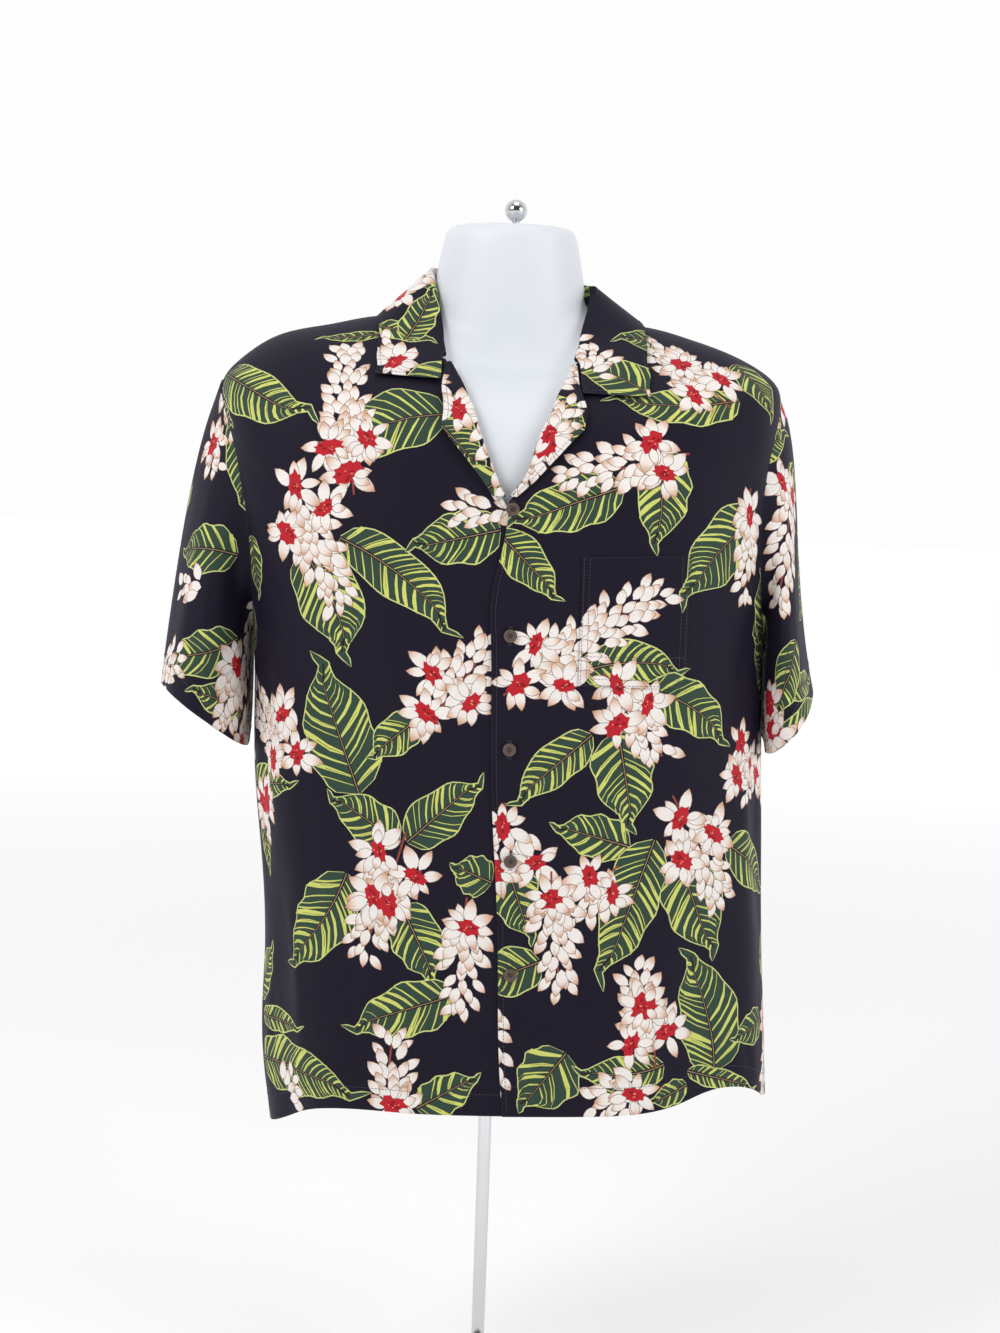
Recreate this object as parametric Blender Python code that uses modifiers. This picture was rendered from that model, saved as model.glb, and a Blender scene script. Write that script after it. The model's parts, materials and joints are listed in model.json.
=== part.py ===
"""A short-sleeved hawaiian shirt on a limbless dress form.

Units are metres, +Z is up, the wearer faces -Y and the wearer's left is +X.
The origin is the middle of the underside of the stand's base.

The cloth is one surface around the body. A place on it is given by
  theta   the angle around the body: 0 is the centre front, +90 degrees the
          wearer's left side seam and shoulder seam, 180 degrees the centre back,
  along   the distance from the hem up the side, over the shoulder, to the neck,
  lift    the distance out from that surface.
"""
import math

import bpy
import numpy as np
from mathutils import Vector
from mathutils.bvhtree import BVHTree

# ----------------------------------------------------------------- dimensions
CLOTH = 0.0014           # thickness of a cloth wall
SEAM_GAP = 0.0003        # between two pieces at a seam
REST_GAP = 0.0006        # between a piece and the panel that it lies on
FOLD_RADIUS = 0.0021     # of the cloth's middle where collar and lapels turn over

ARMHOLE_TURNS = (0, 15, 30, 45, 60, 75, 90, 105, 110, 120, 135, 150, 165, 180)
UNDERARM = 0.435         # along, at the bottom of the armhole
SHOULDER_TIP = 0.665     # along, at the top of the armhole
ARMHOLE_CUT = math.radians(27)     # how far the armhole cuts in from the side
LAP = 0.0145             # each front passes the centre front by this much
UNDERLAP = (0.020, 0.090)          # from the centre front, where the right front rises to level
GORGE_ALONG = 0.812      # where the collar meets the lapel on the roll line
SHOULDER_ROWS_END = 0.790          # above it the fronts taper into the neckline

BUTTON_DIAMETER = 0.0115
BUTTON_THICKNESS = 0.0026

POCKET_X = (0.0665, 0.1585)
POCKET_ALONG = (0.402, 0.527)

POLE_RADIUS = 0.006
POLE_FOOT = 0.0125
BASE_RADIUS = 0.130
BASE_THICKNESS = 0.009
BASE_BEVEL = 0.002
HUB_RADIUS = 0.016
HUB_HEIGHT = 0.042
FORM_BOTTOM = 0.360
FORM_START = 0.085       # along, at the form's lowest ring
FORM_WAIST = 0.300       # along, above which the form's rings follow the shirt's
FORM_CHEST = 0.630       # along, above which its rings stand closer together
FORM_FOOT_SHARE = 0.95   # of the lowest ring, at the flat foot
FORM_ROUND = 0.010       # the lowest ring stands this far above the foot
FLANGE_RADIUS = 0.032
FLANGE_THICKNESS = 0.004
FLANGE_SLEEVE = 0.030
FLANGE_WALL = 0.004
BALL_RADIUS = 0.010
BALL_CENTRE = 1.0976
STEM_RADIUS = 0.0035
STEM_FOOT = 0.0013       # height of the small rosette round the stem
FORM_TOP = 1.0830

# The shirt as hung: one row for each ring around the body.
RING_COLUMNS = ("along", "half_width", "shift", "front", "back",
                "z_front", "z_side", "z_back", "lean", "square")
RING_ROWS = (
    (0.000, 0.2265, 0.0290, -0.150, 0.122, 0.3090, 0.2855, 0.2950, 0.0195, 0.12),
    (0.060, 0.2290, 0.0240, -0.150, 0.122, 0.3670, 0.3420, 0.3530, 0.0080, 0.13),
    (0.130, 0.2273, 0.0212, -0.148, 0.121, 0.4360, 0.4110, 0.4190, 0.0015, 0.14),
    (0.205, 0.2265, 0.0172, -0.147, 0.121, 0.5040, 0.4850, 0.4910, 0.0000, 0.16),
    (0.315, 0.2300, 0.0098, -0.148, 0.124, 0.6010, 0.5950, 0.5970, 0.0000, 0.19),
    (0.435, 0.2305, 0.0060, -0.149, 0.130, 0.7120, 0.7150, 0.7150, 0.0000, 0.22),
    (0.550, 0.2410, -0.0020, -0.146, 0.133, 0.8100, 0.8300, 0.8270, 0.0000, 0.25),
    (0.620, 0.2480, -0.0060, -0.140, 0.129, 0.8650, 0.8960, 0.8950, 0.0000, 0.24),
    (0.665, 0.2505, -0.0070, -0.132, 0.120, 0.8950, 0.9380, 0.9370, 0.0000, 0.20),
    (0.692, 0.2385, -0.0045, -0.124, 0.110, 0.9090, 0.9555, 0.9520, -0.0010, 0.16),
    (0.729, 0.2060, -0.0050, -0.113, 0.098, 0.9230, 0.9760, 0.9670, -0.0024, 0.12),
    (0.775, 0.1600, -0.0030, -0.097, 0.083, 0.9370, 0.9895, 0.9820, -0.0010, 0.10),
    (0.812, 0.1220, -0.0010, -0.081, 0.070, 0.9490, 0.9980, 0.9940, -0.0010, 0.08),
    (0.849, 0.0800, 0.0000, -0.064, 0.058, 0.9600, 1.0080, 1.0080, -0.0020, 0.06),
    (0.867, 0.0735, 0.0000, -0.058, 0.054, 0.9710, 1.0215, 1.0250, -0.0040, 0.05),
    (0.890, 0.0712, -0.0010, -0.055, 0.052, 0.9870, 1.0385, 1.0470, -0.0060, 0.05),
)

# Soft folds: each runs straight from its low end to its high end.
FOLD_COLUMNS = ("theta_low", "theta_high", "along_low", "along_high", "width", "height")
FOLD_ROWS = (
    (-38, -52, -0.10, 0.42, 11, 0.0045),
    (-60, -63, -0.10, 0.30, 8, -0.0040),
    (-16, -10, -0.10, 0.22, 8, -0.0025),
    (24, 30, -0.12, 0.20, 9, 0.0040),
    (44, 40, -0.12, 0.26, 8, -0.0045),
    (62, 60, -0.10, 0.40, 9, 0.0045),
    (74, 50, 0.16, 0.56, 7, -0.0030),
    (-76, -48, 0.18, 0.58, 7, -0.0030),
    (112, 124, -0.12, 0.45, 10, 0.0050),
    (136, 142, -0.12, 0.50, 10, -0.0050),
    (160, 160, -0.12, 0.60, 10, 0.0050),
    (184, 181, -0.12, 0.66, 10, -0.0045),
    (206, 202, -0.12, 0.58, 10, 0.0050),
    (228, 218, -0.12, 0.46, 10, -0.0045),
    (250, 238, -0.12, 0.40, 10, 0.0045),
)

FOLD_FADES = 0.45        # share of a fold's run after which it dies out
FOLD_GROWS = 0.10        # along, over which a fold grows at its low end

# Where the hem's edge rises as it swings out.
HEM_COLUMNS = ("theta", "width", "rise")
HEM_ROWS = (
    (-44, 24, 0.019),
    (16, 14, -0.002),
    (52, 18, 0.020),
    (130, 20, 0.006),
    (215, 24, 0.008),
)
HEM_WAVE_REACH = 0.075   # along, over which the hem's wave dies out

# The roll line: x of each front's free edge, from the centre front.
ROLL_COLUMNS = ("along", "right_front", "left_front")
ROLL_ROWS = (
    (0.583, -0.0015, 0.0062),
    (0.610, -0.0065, 0.0235),
    (0.640, -0.0140, 0.0330),
    (0.700, -0.0285, 0.0440),
    (0.760, -0.0395, 0.0525),
    (0.812, -0.0560, 0.0580),
)
ROLL_STARTS = 0.460      # along, where each front's edge begins to leave its lap

# Where the buttons sit on the left front: x and height.
BUTTON_ROWS = (
    (0.0060, 0.830),
    (0.0075, 0.723),
    (0.0100, 0.626),
    (0.0142, 0.530),
    (0.0175, 0.432),
)

# The lapels' outer edges: x from the centre front, at the same places.
LAPEL_COLUMNS = ("along", "right_lapel", "left_lapel")
LAPEL_ROWS = (
    (0.588, -0.0070, 0.0130),
    (0.605, -0.0155, 0.0290),
    (0.636, -0.0330, 0.0520),
    (0.665, -0.0500, 0.0715),
    (0.690, -0.0515, 0.0715),
    (0.735, -0.0538, 0.0664),
    (0.762, -0.0546, 0.0634),
    (0.803, -0.0553, 0.0592),
)
LAPEL_EDGE_LIFT = 0.0036

# The collar, from its front end on one side to the centre back.
COLLAR_COLUMNS = ("neck_theta", "neck_along", "fold_along",
                  "right_theta", "right_along", "left_theta", "left_along")
COLLAR_ROWS = (
    (28, 0.812, 0.8165, 31.5, 0.736, 30.5, 0.710),
    (33, 0.8165, 0.826, 34.5, 0.752, 33.5, 0.726),
    (40, 0.821, 0.836, 39.5, 0.767, 38.0, 0.744),
    (50, 0.828, 0.850, 46.5, 0.785, 44.0, 0.768),
    (62, 0.836, 0.865, 56.0, 0.800, 52.0, 0.787),
    (75, 0.843, 0.878, 69.0, 0.810, 66.0, 0.807),
    (90, 0.850, 0.887, 90.0, 0.8165, 90.0, 0.8165),
    (110, 0.850, 0.888, 110.0, 0.806, 110.0, 0.806),
    (132, 0.850, 0.888, 132.0, 0.783, 132.0, 0.783),
    (156, 0.850, 0.888, 156.0, 0.757, 156.0, 0.757),
    (180, 0.850, 0.888, 180.0, 0.747, 180.0, 0.747),
)
# The notch: the corner of the collar's front end that is next to the lapel.
NOTCH = {"right": (17.4, 0.7614), "left": (18.0, 0.7351)}
NOTCH_SHARE = 0.36       # of the way down the collar's front end
NOTCH_BOW = 1.2          # degrees that keep the front end straight as the body widens
NOTCH_REACH = 1.6        # rows of the table over which the notch shapes the collar
BRIDGE = (2.2, 4.6)      # rows over which the fall changes from lying to spanning
COLLAR_GAP = 0.0020      # between the collar's fall and the panels

# The neckline seam of the fronts.
NECKLINE_COLUMNS = ("theta", "along")
NECKLINE_ROWS = ((28, 0.812), (45, 0.8245), (65, 0.838), (90, 0.849))

# The cuffs' rings: the points furthest out, in, forward and back. "cap" is how far
# the sleeve head stands out before it turns down, "flare" how it widens at the cuff.
CUFFS = {
    "sleeve_right": {"side": -1, "cap": 0.16, "flare": 0.10,
                     "outer": (-0.3065, -0.006, 0.6640), "inner": (-0.2275, -0.010, 0.6080),
                     "front": (-0.2640, -0.092, 0.6410), "back": (-0.2660, 0.078, 0.6460)},
    "sleeve_left": {"side": 1, "cap": 0.32, "flare": 0.24,
                    "outer": (0.2860, 0.018, 0.6780), "inner": (0.2400, 0.000, 0.6240),
                    "front": (0.2580, -0.092, 0.6400), "back": (0.2680, 0.084, 0.6750)},
}
# Folds that run down a sleeve; phi is 0 on top, 90 in front, 180 underneath.
SLEEVE_FOLD_COLUMNS = ("phi", "start", "end", "width", "height")
SLEEVE_FOLD_ROWS = (
    (118, 0.06, 1.10, 15, -0.0060),
    (84, 0.20, 1.20, 16, 0.0030),
    (38, 0.45, 1.20, 14, -0.0025),
    (246, 0.10, 1.10, 15, -0.0050),
    (300, 0.30, 1.20, 18, 0.0030),
)
SLEEVE_FOLD_GROWS = 0.3  # share of the way down, over which a fold grows and dies out
SLEEVE_LEAVES = 0.030    # how far a sleeve keeps its first direction at the armhole
SLEEVE_CAP_LEAVES = 0.024          # further at the shoulder, less at the underarm
SLEEVE_DROPS = 0.42      # share of a sleeve's length that hangs straight above the cuff
ARMHOLE_OFFSET = SEAM_GAP + CLOTH / 2 + 0.0002     # from a panel's edge to the sleeve's
CUFF_SQUARE = 0.10       # how far a cuff is from round towards square
SLEEVE_ROW_CROWDING = 1.15         # above 1 the rows crowd towards the armhole
SLEEVE_ROOM = 0.0032     # between a sleeve's under side and the body of the shirt

# The dress form: how far it lies inside the shirt's surface.
FORM_COLUMNS = ("along", "in_front", "in_side", "in_back", "shift_share")
FORM_ROWS = (
    (0.075, 0.034, 0.038, 0.026, 0.0),
    (0.120, 0.030, 0.034, 0.022, 0.0),
    (0.230, 0.036, 0.048, 0.026, 0.0),
    (0.340, 0.024, 0.040, 0.020, 0.0),
    (0.450, 0.014, 0.026, 0.014, 0.2),
    (0.550, 0.009, 0.019, 0.012, 0.6),
    (0.620, 0.007, 0.016, 0.010, 0.9),
    (0.665, 0.006, 0.012, 0.007, 1.0),
    (0.700, 0.005, 0.0040, 0.005, 1.0),
    (0.735, 0.0045, 0.0019, 0.0035, 1.0),
    (0.775, 0.0045, 0.0017, 0.0030, 1.0),
    (0.812, 0.0050, 0.0018, 0.0026, 1.0),
    (0.846, 0.0060, 0.0034, 0.0040, 1.0),
)
# The neck above the collar seam: one row for each ring.
NECK_SHIFT = -0.0035
NECK_COLUMNS = ("half_width", "front", "back", "z_front", "z_side")
NECK_ROWS = (
    (0.0690, -0.0540, 0.0500, 0.9730, 1.0160),
    (0.0675, -0.0515, 0.0490, 0.9950, 1.0290),
    (0.0650, -0.0505, 0.0490, 1.0250, 1.0440),
    (0.0620, -0.0505, 0.0490, 1.0530, 1.0600),
    (0.0590, -0.0500, 0.0480, 1.0710, 1.0730),
    (0.0555, -0.0465, 0.0450, 1.0790, 1.0795),
    (0.0480, -0.0400, 0.0390, 1.0822, 1.0822),
    (0.0300, -0.0250, 0.0240, 1.0830, 1.0830),
)


# --------------------------------------------------------------- small helpers
def columns(names, rows):
    """A table as named arrays, one for each column."""
    return {name: np.array(values, float) for name, values in zip(names, zip(*rows))}


def named_rows(names, rows):
    """A table as one dictionary for each row."""
    return [dict(zip(names, row)) for row in rows]


def smooth_curve(knots, values):
    """A natural cubic spline through the values, as a function of the knots."""
    step = np.diff(knots)
    slope = np.diff(values) / step
    count = len(knots)
    system, right = np.eye(count), np.zeros(count)
    for i in range(1, count - 1):
        system[i, i - 1:i + 2] = step[i - 1], 2 * (step[i - 1] + step[i]), step[i]
        right[i] = 6 * (slope[i] - slope[i - 1])
    bend = np.linalg.solve(system, right)

    def curve(at):
        i = np.clip(np.searchsorted(knots, at) - 1, 0, count - 2)
        h, a, b = step[i], knots[i + 1] - at, at - knots[i]
        return ((bend[i] * a ** 3 + bend[i + 1] * b ** 3) / (6 * h)
                + (values[i] / h - bend[i] * h / 6) * a
                + (values[i + 1] / h - bend[i + 1] * h / 6) * b)
    return curve


def ease(low, high, value):
    """0 below low, 1 above high, and a smooth step between."""
    share = np.clip((value - low) / (high - low), 0, 1)
    return share * share * (3 - 2 * share)


def unit(vectors):
    return vectors / np.linalg.norm(vectors, axis=-1, keepdims=True)


RINGS = columns(RING_COLUMNS, RING_ROWS)
RING = {name: smooth_curve(RINGS["along"], RINGS[name]) for name in RING_COLUMNS[1:]}
ROLL = columns(ROLL_COLUMNS, ROLL_ROWS)
LAPEL = columns(LAPEL_COLUMNS, LAPEL_ROWS)
NECKLINE = columns(NECKLINE_COLUMNS, NECKLINE_ROWS)
FORM = columns(FORM_COLUMNS, FORM_ROWS)


# ---------------------------------------------------------- the shirt's surface
def bare_surface(theta, along, shift_share=1.0):
    """The surface without its folds; with no shift share it is symmetrical."""
    theta, along = np.broadcast_arrays(np.asarray(theta, float), np.asarray(along, float))
    at = {name: curve(along) for name, curve in RING.items()}
    sin, cos = np.sin(theta), np.cos(theta)
    x = at["shift"] * shift_share + at["half_width"] * sin * (1 + at["square"] * cos ** 2)
    depth = np.where(cos > 0, -at["front"], at["back"])
    y = -cos * (1 + at["square"] * sin ** 2) * depth
    z_end = np.where(cos > 0, at["z_front"], at["z_back"])
    z = at["z_side"] + (z_end - at["z_side"]) * cos ** 2 + at["lean"] * sin * shift_share
    return np.stack([x, y, z], axis=-1)


def turn_from(theta, centre, width):
    """How near an angle is to a centre, as a soft bell around the body."""
    away = (theta - centre + math.pi) % (2 * math.pi) - math.pi
    return np.exp(-(away / width) ** 2)


def hem_wave(theta, along):
    rise = sum(wave["rise"] * turn_from(theta, math.radians(wave["theta"]),
                                        math.radians(wave["width"]))
               for wave in named_rows(HEM_COLUMNS, HEM_ROWS))
    return rise * np.exp(-(along / HEM_WAVE_REACH) ** 2)


def fold_height(theta, along):
    """The soft folds' height: each is fullest low down and dies out at its upper end."""
    total = np.zeros_like(theta)
    for fold in named_rows(FOLD_COLUMNS, FOLD_ROWS):
        low, high = fold["along_low"], fold["along_high"]
        share = np.clip((along - low) / (high - low), 0, 1)
        centre = np.radians(fold["theta_low"] + (fold["theta_high"] - fold["theta_low"]) * share)
        fullness = (1 - ease(FOLD_FADES, 1.0, share)) * ease(low, low + FOLD_GROWS, along)
        total += fold["height"] * fullness * turn_from(theta, centre, math.radians(fold["width"]))
    return total


def surface_frame(theta, along):
    """The outward normal and the two unit directions in the surface."""
    step = 1e-4
    around = bare_surface(theta + step, along) - bare_surface(theta - step, along)
    upward = bare_surface(theta, along + step) - bare_surface(theta, along - step)
    return unit(np.cross(around, upward)), unit(around), unit(upward)


def shirt(theta, along, lift=0.0):
    """A point of the hung cloth's middle, moved out by the lift."""
    theta, along = np.broadcast_arrays(np.asarray(theta, float), np.asarray(along, float))
    normal, _, _ = surface_frame(theta, along)
    points = bare_surface(theta, along)
    points[..., 2] += hem_wave(theta, along)
    return points + normal * (fold_height(theta, along) + lift)[..., None]


def theta_at(x_from_centre, along):
    """The angle at which the surface stands that far from the centre front."""
    half_width, square = RING["half_width"](along), RING["square"](along)
    sin = x_from_centre / half_width
    for _ in range(6):
        sin = x_from_centre / (half_width * (1 + square * (1 - sin ** 2)))
    return np.arcsin(np.clip(sin, -1, 1))


def seam_angle(theta, along):
    """The angle that half a seam gap takes up there."""
    step = 1e-4
    span = np.linalg.norm(bare_surface(theta + step, along) - bare_surface(theta - step, along),
                          axis=-1)
    return 0.5 * SEAM_GAP * 2 * step / span


def armhole_cut(along):
    """How far the armhole cuts a panel back from the side, as an angle."""
    middle, half = (SHOULDER_TIP + UNDERARM) / 2, (SHOULDER_TIP - UNDERARM) / 2
    inside = np.clip(1 - ((along - middle) / half) ** 2, 0, 1)
    return ARMHOLE_CUT * np.sqrt(inside)


# -------------------------------------------------------------- making the mesh
def material(name, colour, roughness, metallic=0.0):
    made = bpy.data.materials.new(name)
    made.use_nodes = True
    shader = made.node_tree.nodes["Principled BSDF"]
    shader.inputs["Base Color"].default_value = (*colour, 1.0)
    shader.inputs["Roughness"].default_value = roughness
    shader.inputs["Metallic"].default_value = metallic
    made.diffuse_color = (*colour, 1.0)
    return made


def link(thing, finish, smooth_angle=40):
    thing.data.materials.append(finish)
    thing.data.shade_smooth()
    thing.data.set_sharp_from_angle(angle=math.radians(smooth_angle))
    for other in list(thing.users_collection):
        other.objects.unlink(thing)
    PARTS.objects.link(thing)
    return thing


def grid_faces(rows, cols, closed=False, flipped=False):
    """Quads over a grid of points; the columns join up where it is closed."""
    faces = []
    for i in range(rows - 1):
        for j in range(cols if closed else cols - 1):
            k = (j + 1) % cols
            quad = (i * cols + j, i * cols + k, (i + 1) * cols + k, (i + 1) * cols + j)
            faces.append(quad[::-1] if flipped else quad)
    return faces


def cloth(name, grid, finish, closed=False, flipped=False):
    """A cloth wall on a grid of points that is its middle."""
    rows, cols = grid.shape[:2]
    mesh = bpy.data.meshes.new(name)
    mesh.from_pydata(grid.reshape(-1, 3).tolist(), [], grid_faces(rows, cols, closed, flipped))
    piece = bpy.data.objects.new(name, mesh)
    PARTS.objects.link(piece)
    wall = piece.modifiers.new("wall", "SOLIDIFY")
    wall.thickness = CLOTH
    wall.offset = 0.0
    return link(piece, finish)


def tree_of(*grids):
    """The panels' middles, for laying other pieces over them."""
    points, faces = [], []
    for grid in grids:
        start = len(points)
        points += grid.reshape(-1, 3).tolist()
        faces += [tuple(start + corner for corner in face)
                  for face in grid_faces(*grid.shape[:2])]
    return BVHTree.FromPolygons(points, faces)


def laid_over(grid, tree, room, reach=0.020):
    """The points, moved out to at least that room from the panels within reach."""
    moved = grid.copy()
    for index in np.ndindex(grid.shape[:2]):
        point = Vector(grid[index])
        place, normal, _, distance = tree.find_nearest(point)
        if distance < reach and (point - place).dot(normal) < room:
            moved[index] = place + normal * room
    return moved


# ------------------------------------------------------------- fronts and back
def panel_levels():
    """The rows of a panel, close together where the armhole turns."""
    turn = np.radians(ARMHOLE_TURNS)
    middle, half = (SHOULDER_TIP + UNDERARM) / 2, (SHOULDER_TIP - UNDERARM) / 2
    return np.concatenate([
        np.linspace(0, UNDERARM, 11)[:-1],
        middle - half * np.cos(turn),
        np.linspace(SHOULDER_TIP, SHOULDER_ROWS_END, 6)[1:],
    ])


def free_edge(front, along):
    """x of a front's free edge from the centre front: lapped, then rolled back."""
    lap = LAP if front == "right_front" else -LAP
    rolled = smooth_curve(ROLL["along"], ROLL[front])(np.maximum(along, ROLL["along"][0]))
    opened = ease(ROLL_STARTS, ROLL["along"][0], along)
    return lap + (rolled - lap) * opened


def front_grid(side, cols=15):
    """A front, from its free edge out to the side seam, armhole and shoulder seam."""
    front = "left_front" if side > 0 else "right_front"
    lower = -(CLOTH + REST_GAP) if side < 0 else 0
    rows = []
    for along in panel_levels():
        edge = theta_at(free_edge(front, along), along)
        out = side * (math.pi / 2 - armhole_cut(along) - seam_angle(math.pi / 2, along))
        theta = edge + (out - edge) * np.linspace(0, 1, cols)
        under = 1 - ease(*UNDERLAP, np.abs(bare_surface(theta, along)[:, 0]
                                           - RING["shift"](along)))
        rows.append(shirt(theta, along, lower * under))
    for share in (0.25, 0.5, 0.75, 1.0):
        start = SHOULDER_ROWS_END + (GORGE_ALONG - SHOULDER_ROWS_END) * share
        edge = theta_at(free_edge(front, start), start)
        out = side * (math.pi / 2 - seam_angle(math.pi / 2, start))
        theta = edge + (out - edge) * np.linspace(0, 1, cols)
        neck = np.interp(np.degrees(np.abs(theta)), NECKLINE["theta"], NECKLINE["along"])
        along = SHOULDER_ROWS_END + (neck - SHOULDER_ROWS_END) * share
        rows.append(shirt(theta, along))
    grid = np.array(rows)
    return grid if side > 0 else grid[:, ::-1]


def back_grid(cols=25):
    rows = []
    tops = np.linspace(SHOULDER_ROWS_END, RINGS["along"][13], 4)[1:]
    for along in np.concatenate([panel_levels(), tops]):
        out = math.pi / 2 + armhole_cut(along) + seam_angle(math.pi / 2, along)
        rows.append(shirt(np.linspace(out, 2 * math.pi - out, cols), along))
    return np.array(rows)


# --------------------------------------------------------------------- sleeves
def armhole(side, phi, inward):
    """A point of the armhole's edge, moved towards the hole's middle.

    phi is 0 at the shoulder, 90 degrees at the front and 180 at the underarm.
    """
    middle, half = (SHOULDER_TIP + UNDERARM) / 2, (SHOULDER_TIP - UNDERARM) / 2
    theta = side * (math.pi / 2 - ARMHOLE_CUT * np.sin(phi))
    along = middle + half * np.cos(phi)
    normal, _, _ = surface_frame(theta, along)
    edge = bare_surface(theta, along)
    step = 1e-3
    nearby = bare_surface(side * (math.pi / 2 - ARMHOLE_CUT * np.sin(phi + step)),
                          middle + half * np.cos(phi + step))
    tangent = unit(nearby - edge)
    into_hole = unit(np.cross(normal, tangent)) * side
    return edge + into_hole * inward, normal, into_hole


def cuff_ring(cuff, phi):
    """The cuff's edge through its four points, at the sleeve's own angles."""
    outer, inner, front, back = (np.array(cuff[key]) for key in ("outer", "inner", "front", "back"))
    centre = (outer + inner) / 2
    cos, sin = np.cos(phi)[:, None], np.sin(phi)[:, None]
    reach = np.where(sin > 0, front - centre, centre - back)
    return (centre + (outer - inner) / 2 * cos * (1 + CUFF_SQUARE * sin ** 2)
            + reach * sin * (1 + CUFF_SQUARE * cos ** 2))


def sleeve_fold(phi, share):
    """The height of a sleeve's folds at a share of the way down to the cuff."""
    total = np.zeros_like(phi)
    for fold in named_rows(SLEEVE_FOLD_COLUMNS, SLEEVE_FOLD_ROWS):
        fullness = (ease(fold["start"], fold["start"] + SLEEVE_FOLD_GROWS, share)
                    * (1 - ease(fold["end"] - SLEEVE_FOLD_GROWS, fold["end"], share)))
        total += fold["height"] * fullness * turn_from(phi, math.radians(fold["phi"]),
                                                       math.radians(fold["width"]))
    return total


def sleeve_grid(name, tree, rows=9):
    """A set-in sleeve: each line runs out of the armhole and down to the cuff."""
    cuff = CUFFS[name]
    side = cuff["side"]
    phi = np.radians([180 - turn for turn in ARMHOLE_TURNS[:0:-1]]
                     + [180 + turn for turn in ARMHOLE_TURNS[:-1]])
    start, normal, into_hole = armhole(side, phi, ARMHOLE_OFFSET)
    end = cuff_ring(cuff, phi)
    height = np.cos(phi)[:, None]
    head = cuff["cap"]
    leave = unit(normal * (0.5 + head / 2 - (0.5 - head / 2) * height)
                 + into_hole * (0.52 + 0.48 * height))
    arrive = unit(np.array([side * cuff["flare"], 0, -1.0]))
    length = np.linalg.norm(end - start, axis=1)[:, None]
    first = start + leave * (SLEEVE_LEAVES + SLEEVE_CAP_LEAVES * height)
    second = end - arrive * length * SLEEVE_DROPS
    grid = []
    for t in np.linspace(0, 1, rows) ** SLEEVE_ROW_CROWDING:
        ring = ((1 - t) ** 3 * start + 3 * (1 - t) ** 2 * t * first
                + 3 * (1 - t) * t ** 2 * second + t ** 3 * end)
        outward = unit(ring - ring.mean(axis=0))
        grid.append(ring + outward * sleeve_fold(phi, t)[:, None])
    grid = np.array(grid)
    grid[1:] = laid_over(grid[1:], tree, CLOTH + SLEEVE_ROOM)
    return grid


# ------------------------------------------------------------ collar and lapels
def collar_half(side):
    """Half of the collar's guide lines, as angles and heights, at every column."""
    table = columns(COLLAR_COLUMNS, COLLAR_ROWS)
    picks = np.concatenate([np.linspace(0, 5, 11), np.linspace(5, 10, 7)[1:]])
    knots = np.arange(len(COLLAR_ROWS), dtype=float)
    half = {name: smooth_curve(knots, table[name])(picks) for name in COLLAR_COLUMNS}
    hand = "left" if side > 0 else "right"
    return {"reach": picks, "notch": NOTCH[hand],
            "neck_theta": side * np.radians(half["neck_theta"]),
            "neck_along": half["neck_along"], "fold_along": half["fold_along"],
            "edge_theta": side * np.radians(half[hand + "_theta"]),
            "edge_along": half[hand + "_along"]}


def collar_line(half, index, side):
    """One line across the collar: up the stand, over the fold and down the fall."""
    neck_theta, edge_theta = half["neck_theta"][index], half["edge_theta"][index]
    neck_along = half["neck_along"][index] + CLOTH / 2 + REST_GAP
    fold_along, edge_along = half["fold_along"][index], half["edge_along"][index]
    line = [shirt(neck_theta, neck_along + (fold_along - neck_along) * share)
            for share in (0.0, 0.5, 1.0)]
    for turn in np.radians((60, 120)):
        line.append(shirt(neck_theta, fold_along + FOLD_RADIUS * math.sin(turn),
                          FOLD_RADIUS * (1 - math.cos(turn))))
    fold = shirt(neck_theta, fold_along, 2 * FOLD_RADIUS)
    edge_lift = CLOTH + COLLAR_GAP
    edge = shirt(edge_theta, edge_along, edge_lift)
    notch_pull = max(0.0, 1 - half["reach"][index] / NOTCH_REACH) ** 1.5
    bow = math.radians(NOTCH_BOW) * notch_pull
    flat_share = 1 - float(ease(*BRIDGE, half["reach"][index]))
    notch_theta, notch_along = side * math.radians(half["notch"][0]), half["notch"][1]
    aside = notch_theta - (neck_theta + (edge_theta - neck_theta) * NOTCH_SHARE)
    down = notch_along - (fold_along + (edge_along - fold_along) * NOTCH_SHARE)
    for share in (0.0, 0.18, 0.36, 0.58, 0.8, 1.0):
        tent = min(share / NOTCH_SHARE, (1 - share) / (1 - NOTCH_SHARE)) * notch_pull
        theta = neck_theta + (edge_theta - neck_theta) * share + aside * tent
        theta -= side * bow * math.sin(math.pi * min(share / NOTCH_SHARE, 1))
        along = fold_along + (edge_along - fold_along) * share + down * tent
        lift = 2 * FOLD_RADIUS + (edge_lift - 2 * FOLD_RADIUS) * share
        on_surface = shirt(theta, along, lift)
        bridged = fold + (edge - fold) * share
        line.append(on_surface * flat_share + bridged * (1 - flat_share))
    return np.array(line)


def collar_grid(tree):
    lines = []
    for side in (1, -1):
        half = collar_half(side)
        ordered = range(len(half["reach"]))
        built = [collar_line(half, index, side) for index in ordered]
        lines = built + lines[::-1][1:] if side < 0 else built
    grid = np.array(lines).transpose(1, 0, 2)
    grid[6:] = laid_over(grid[6:], tree, CLOTH + COLLAR_GAP)
    return grid


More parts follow.
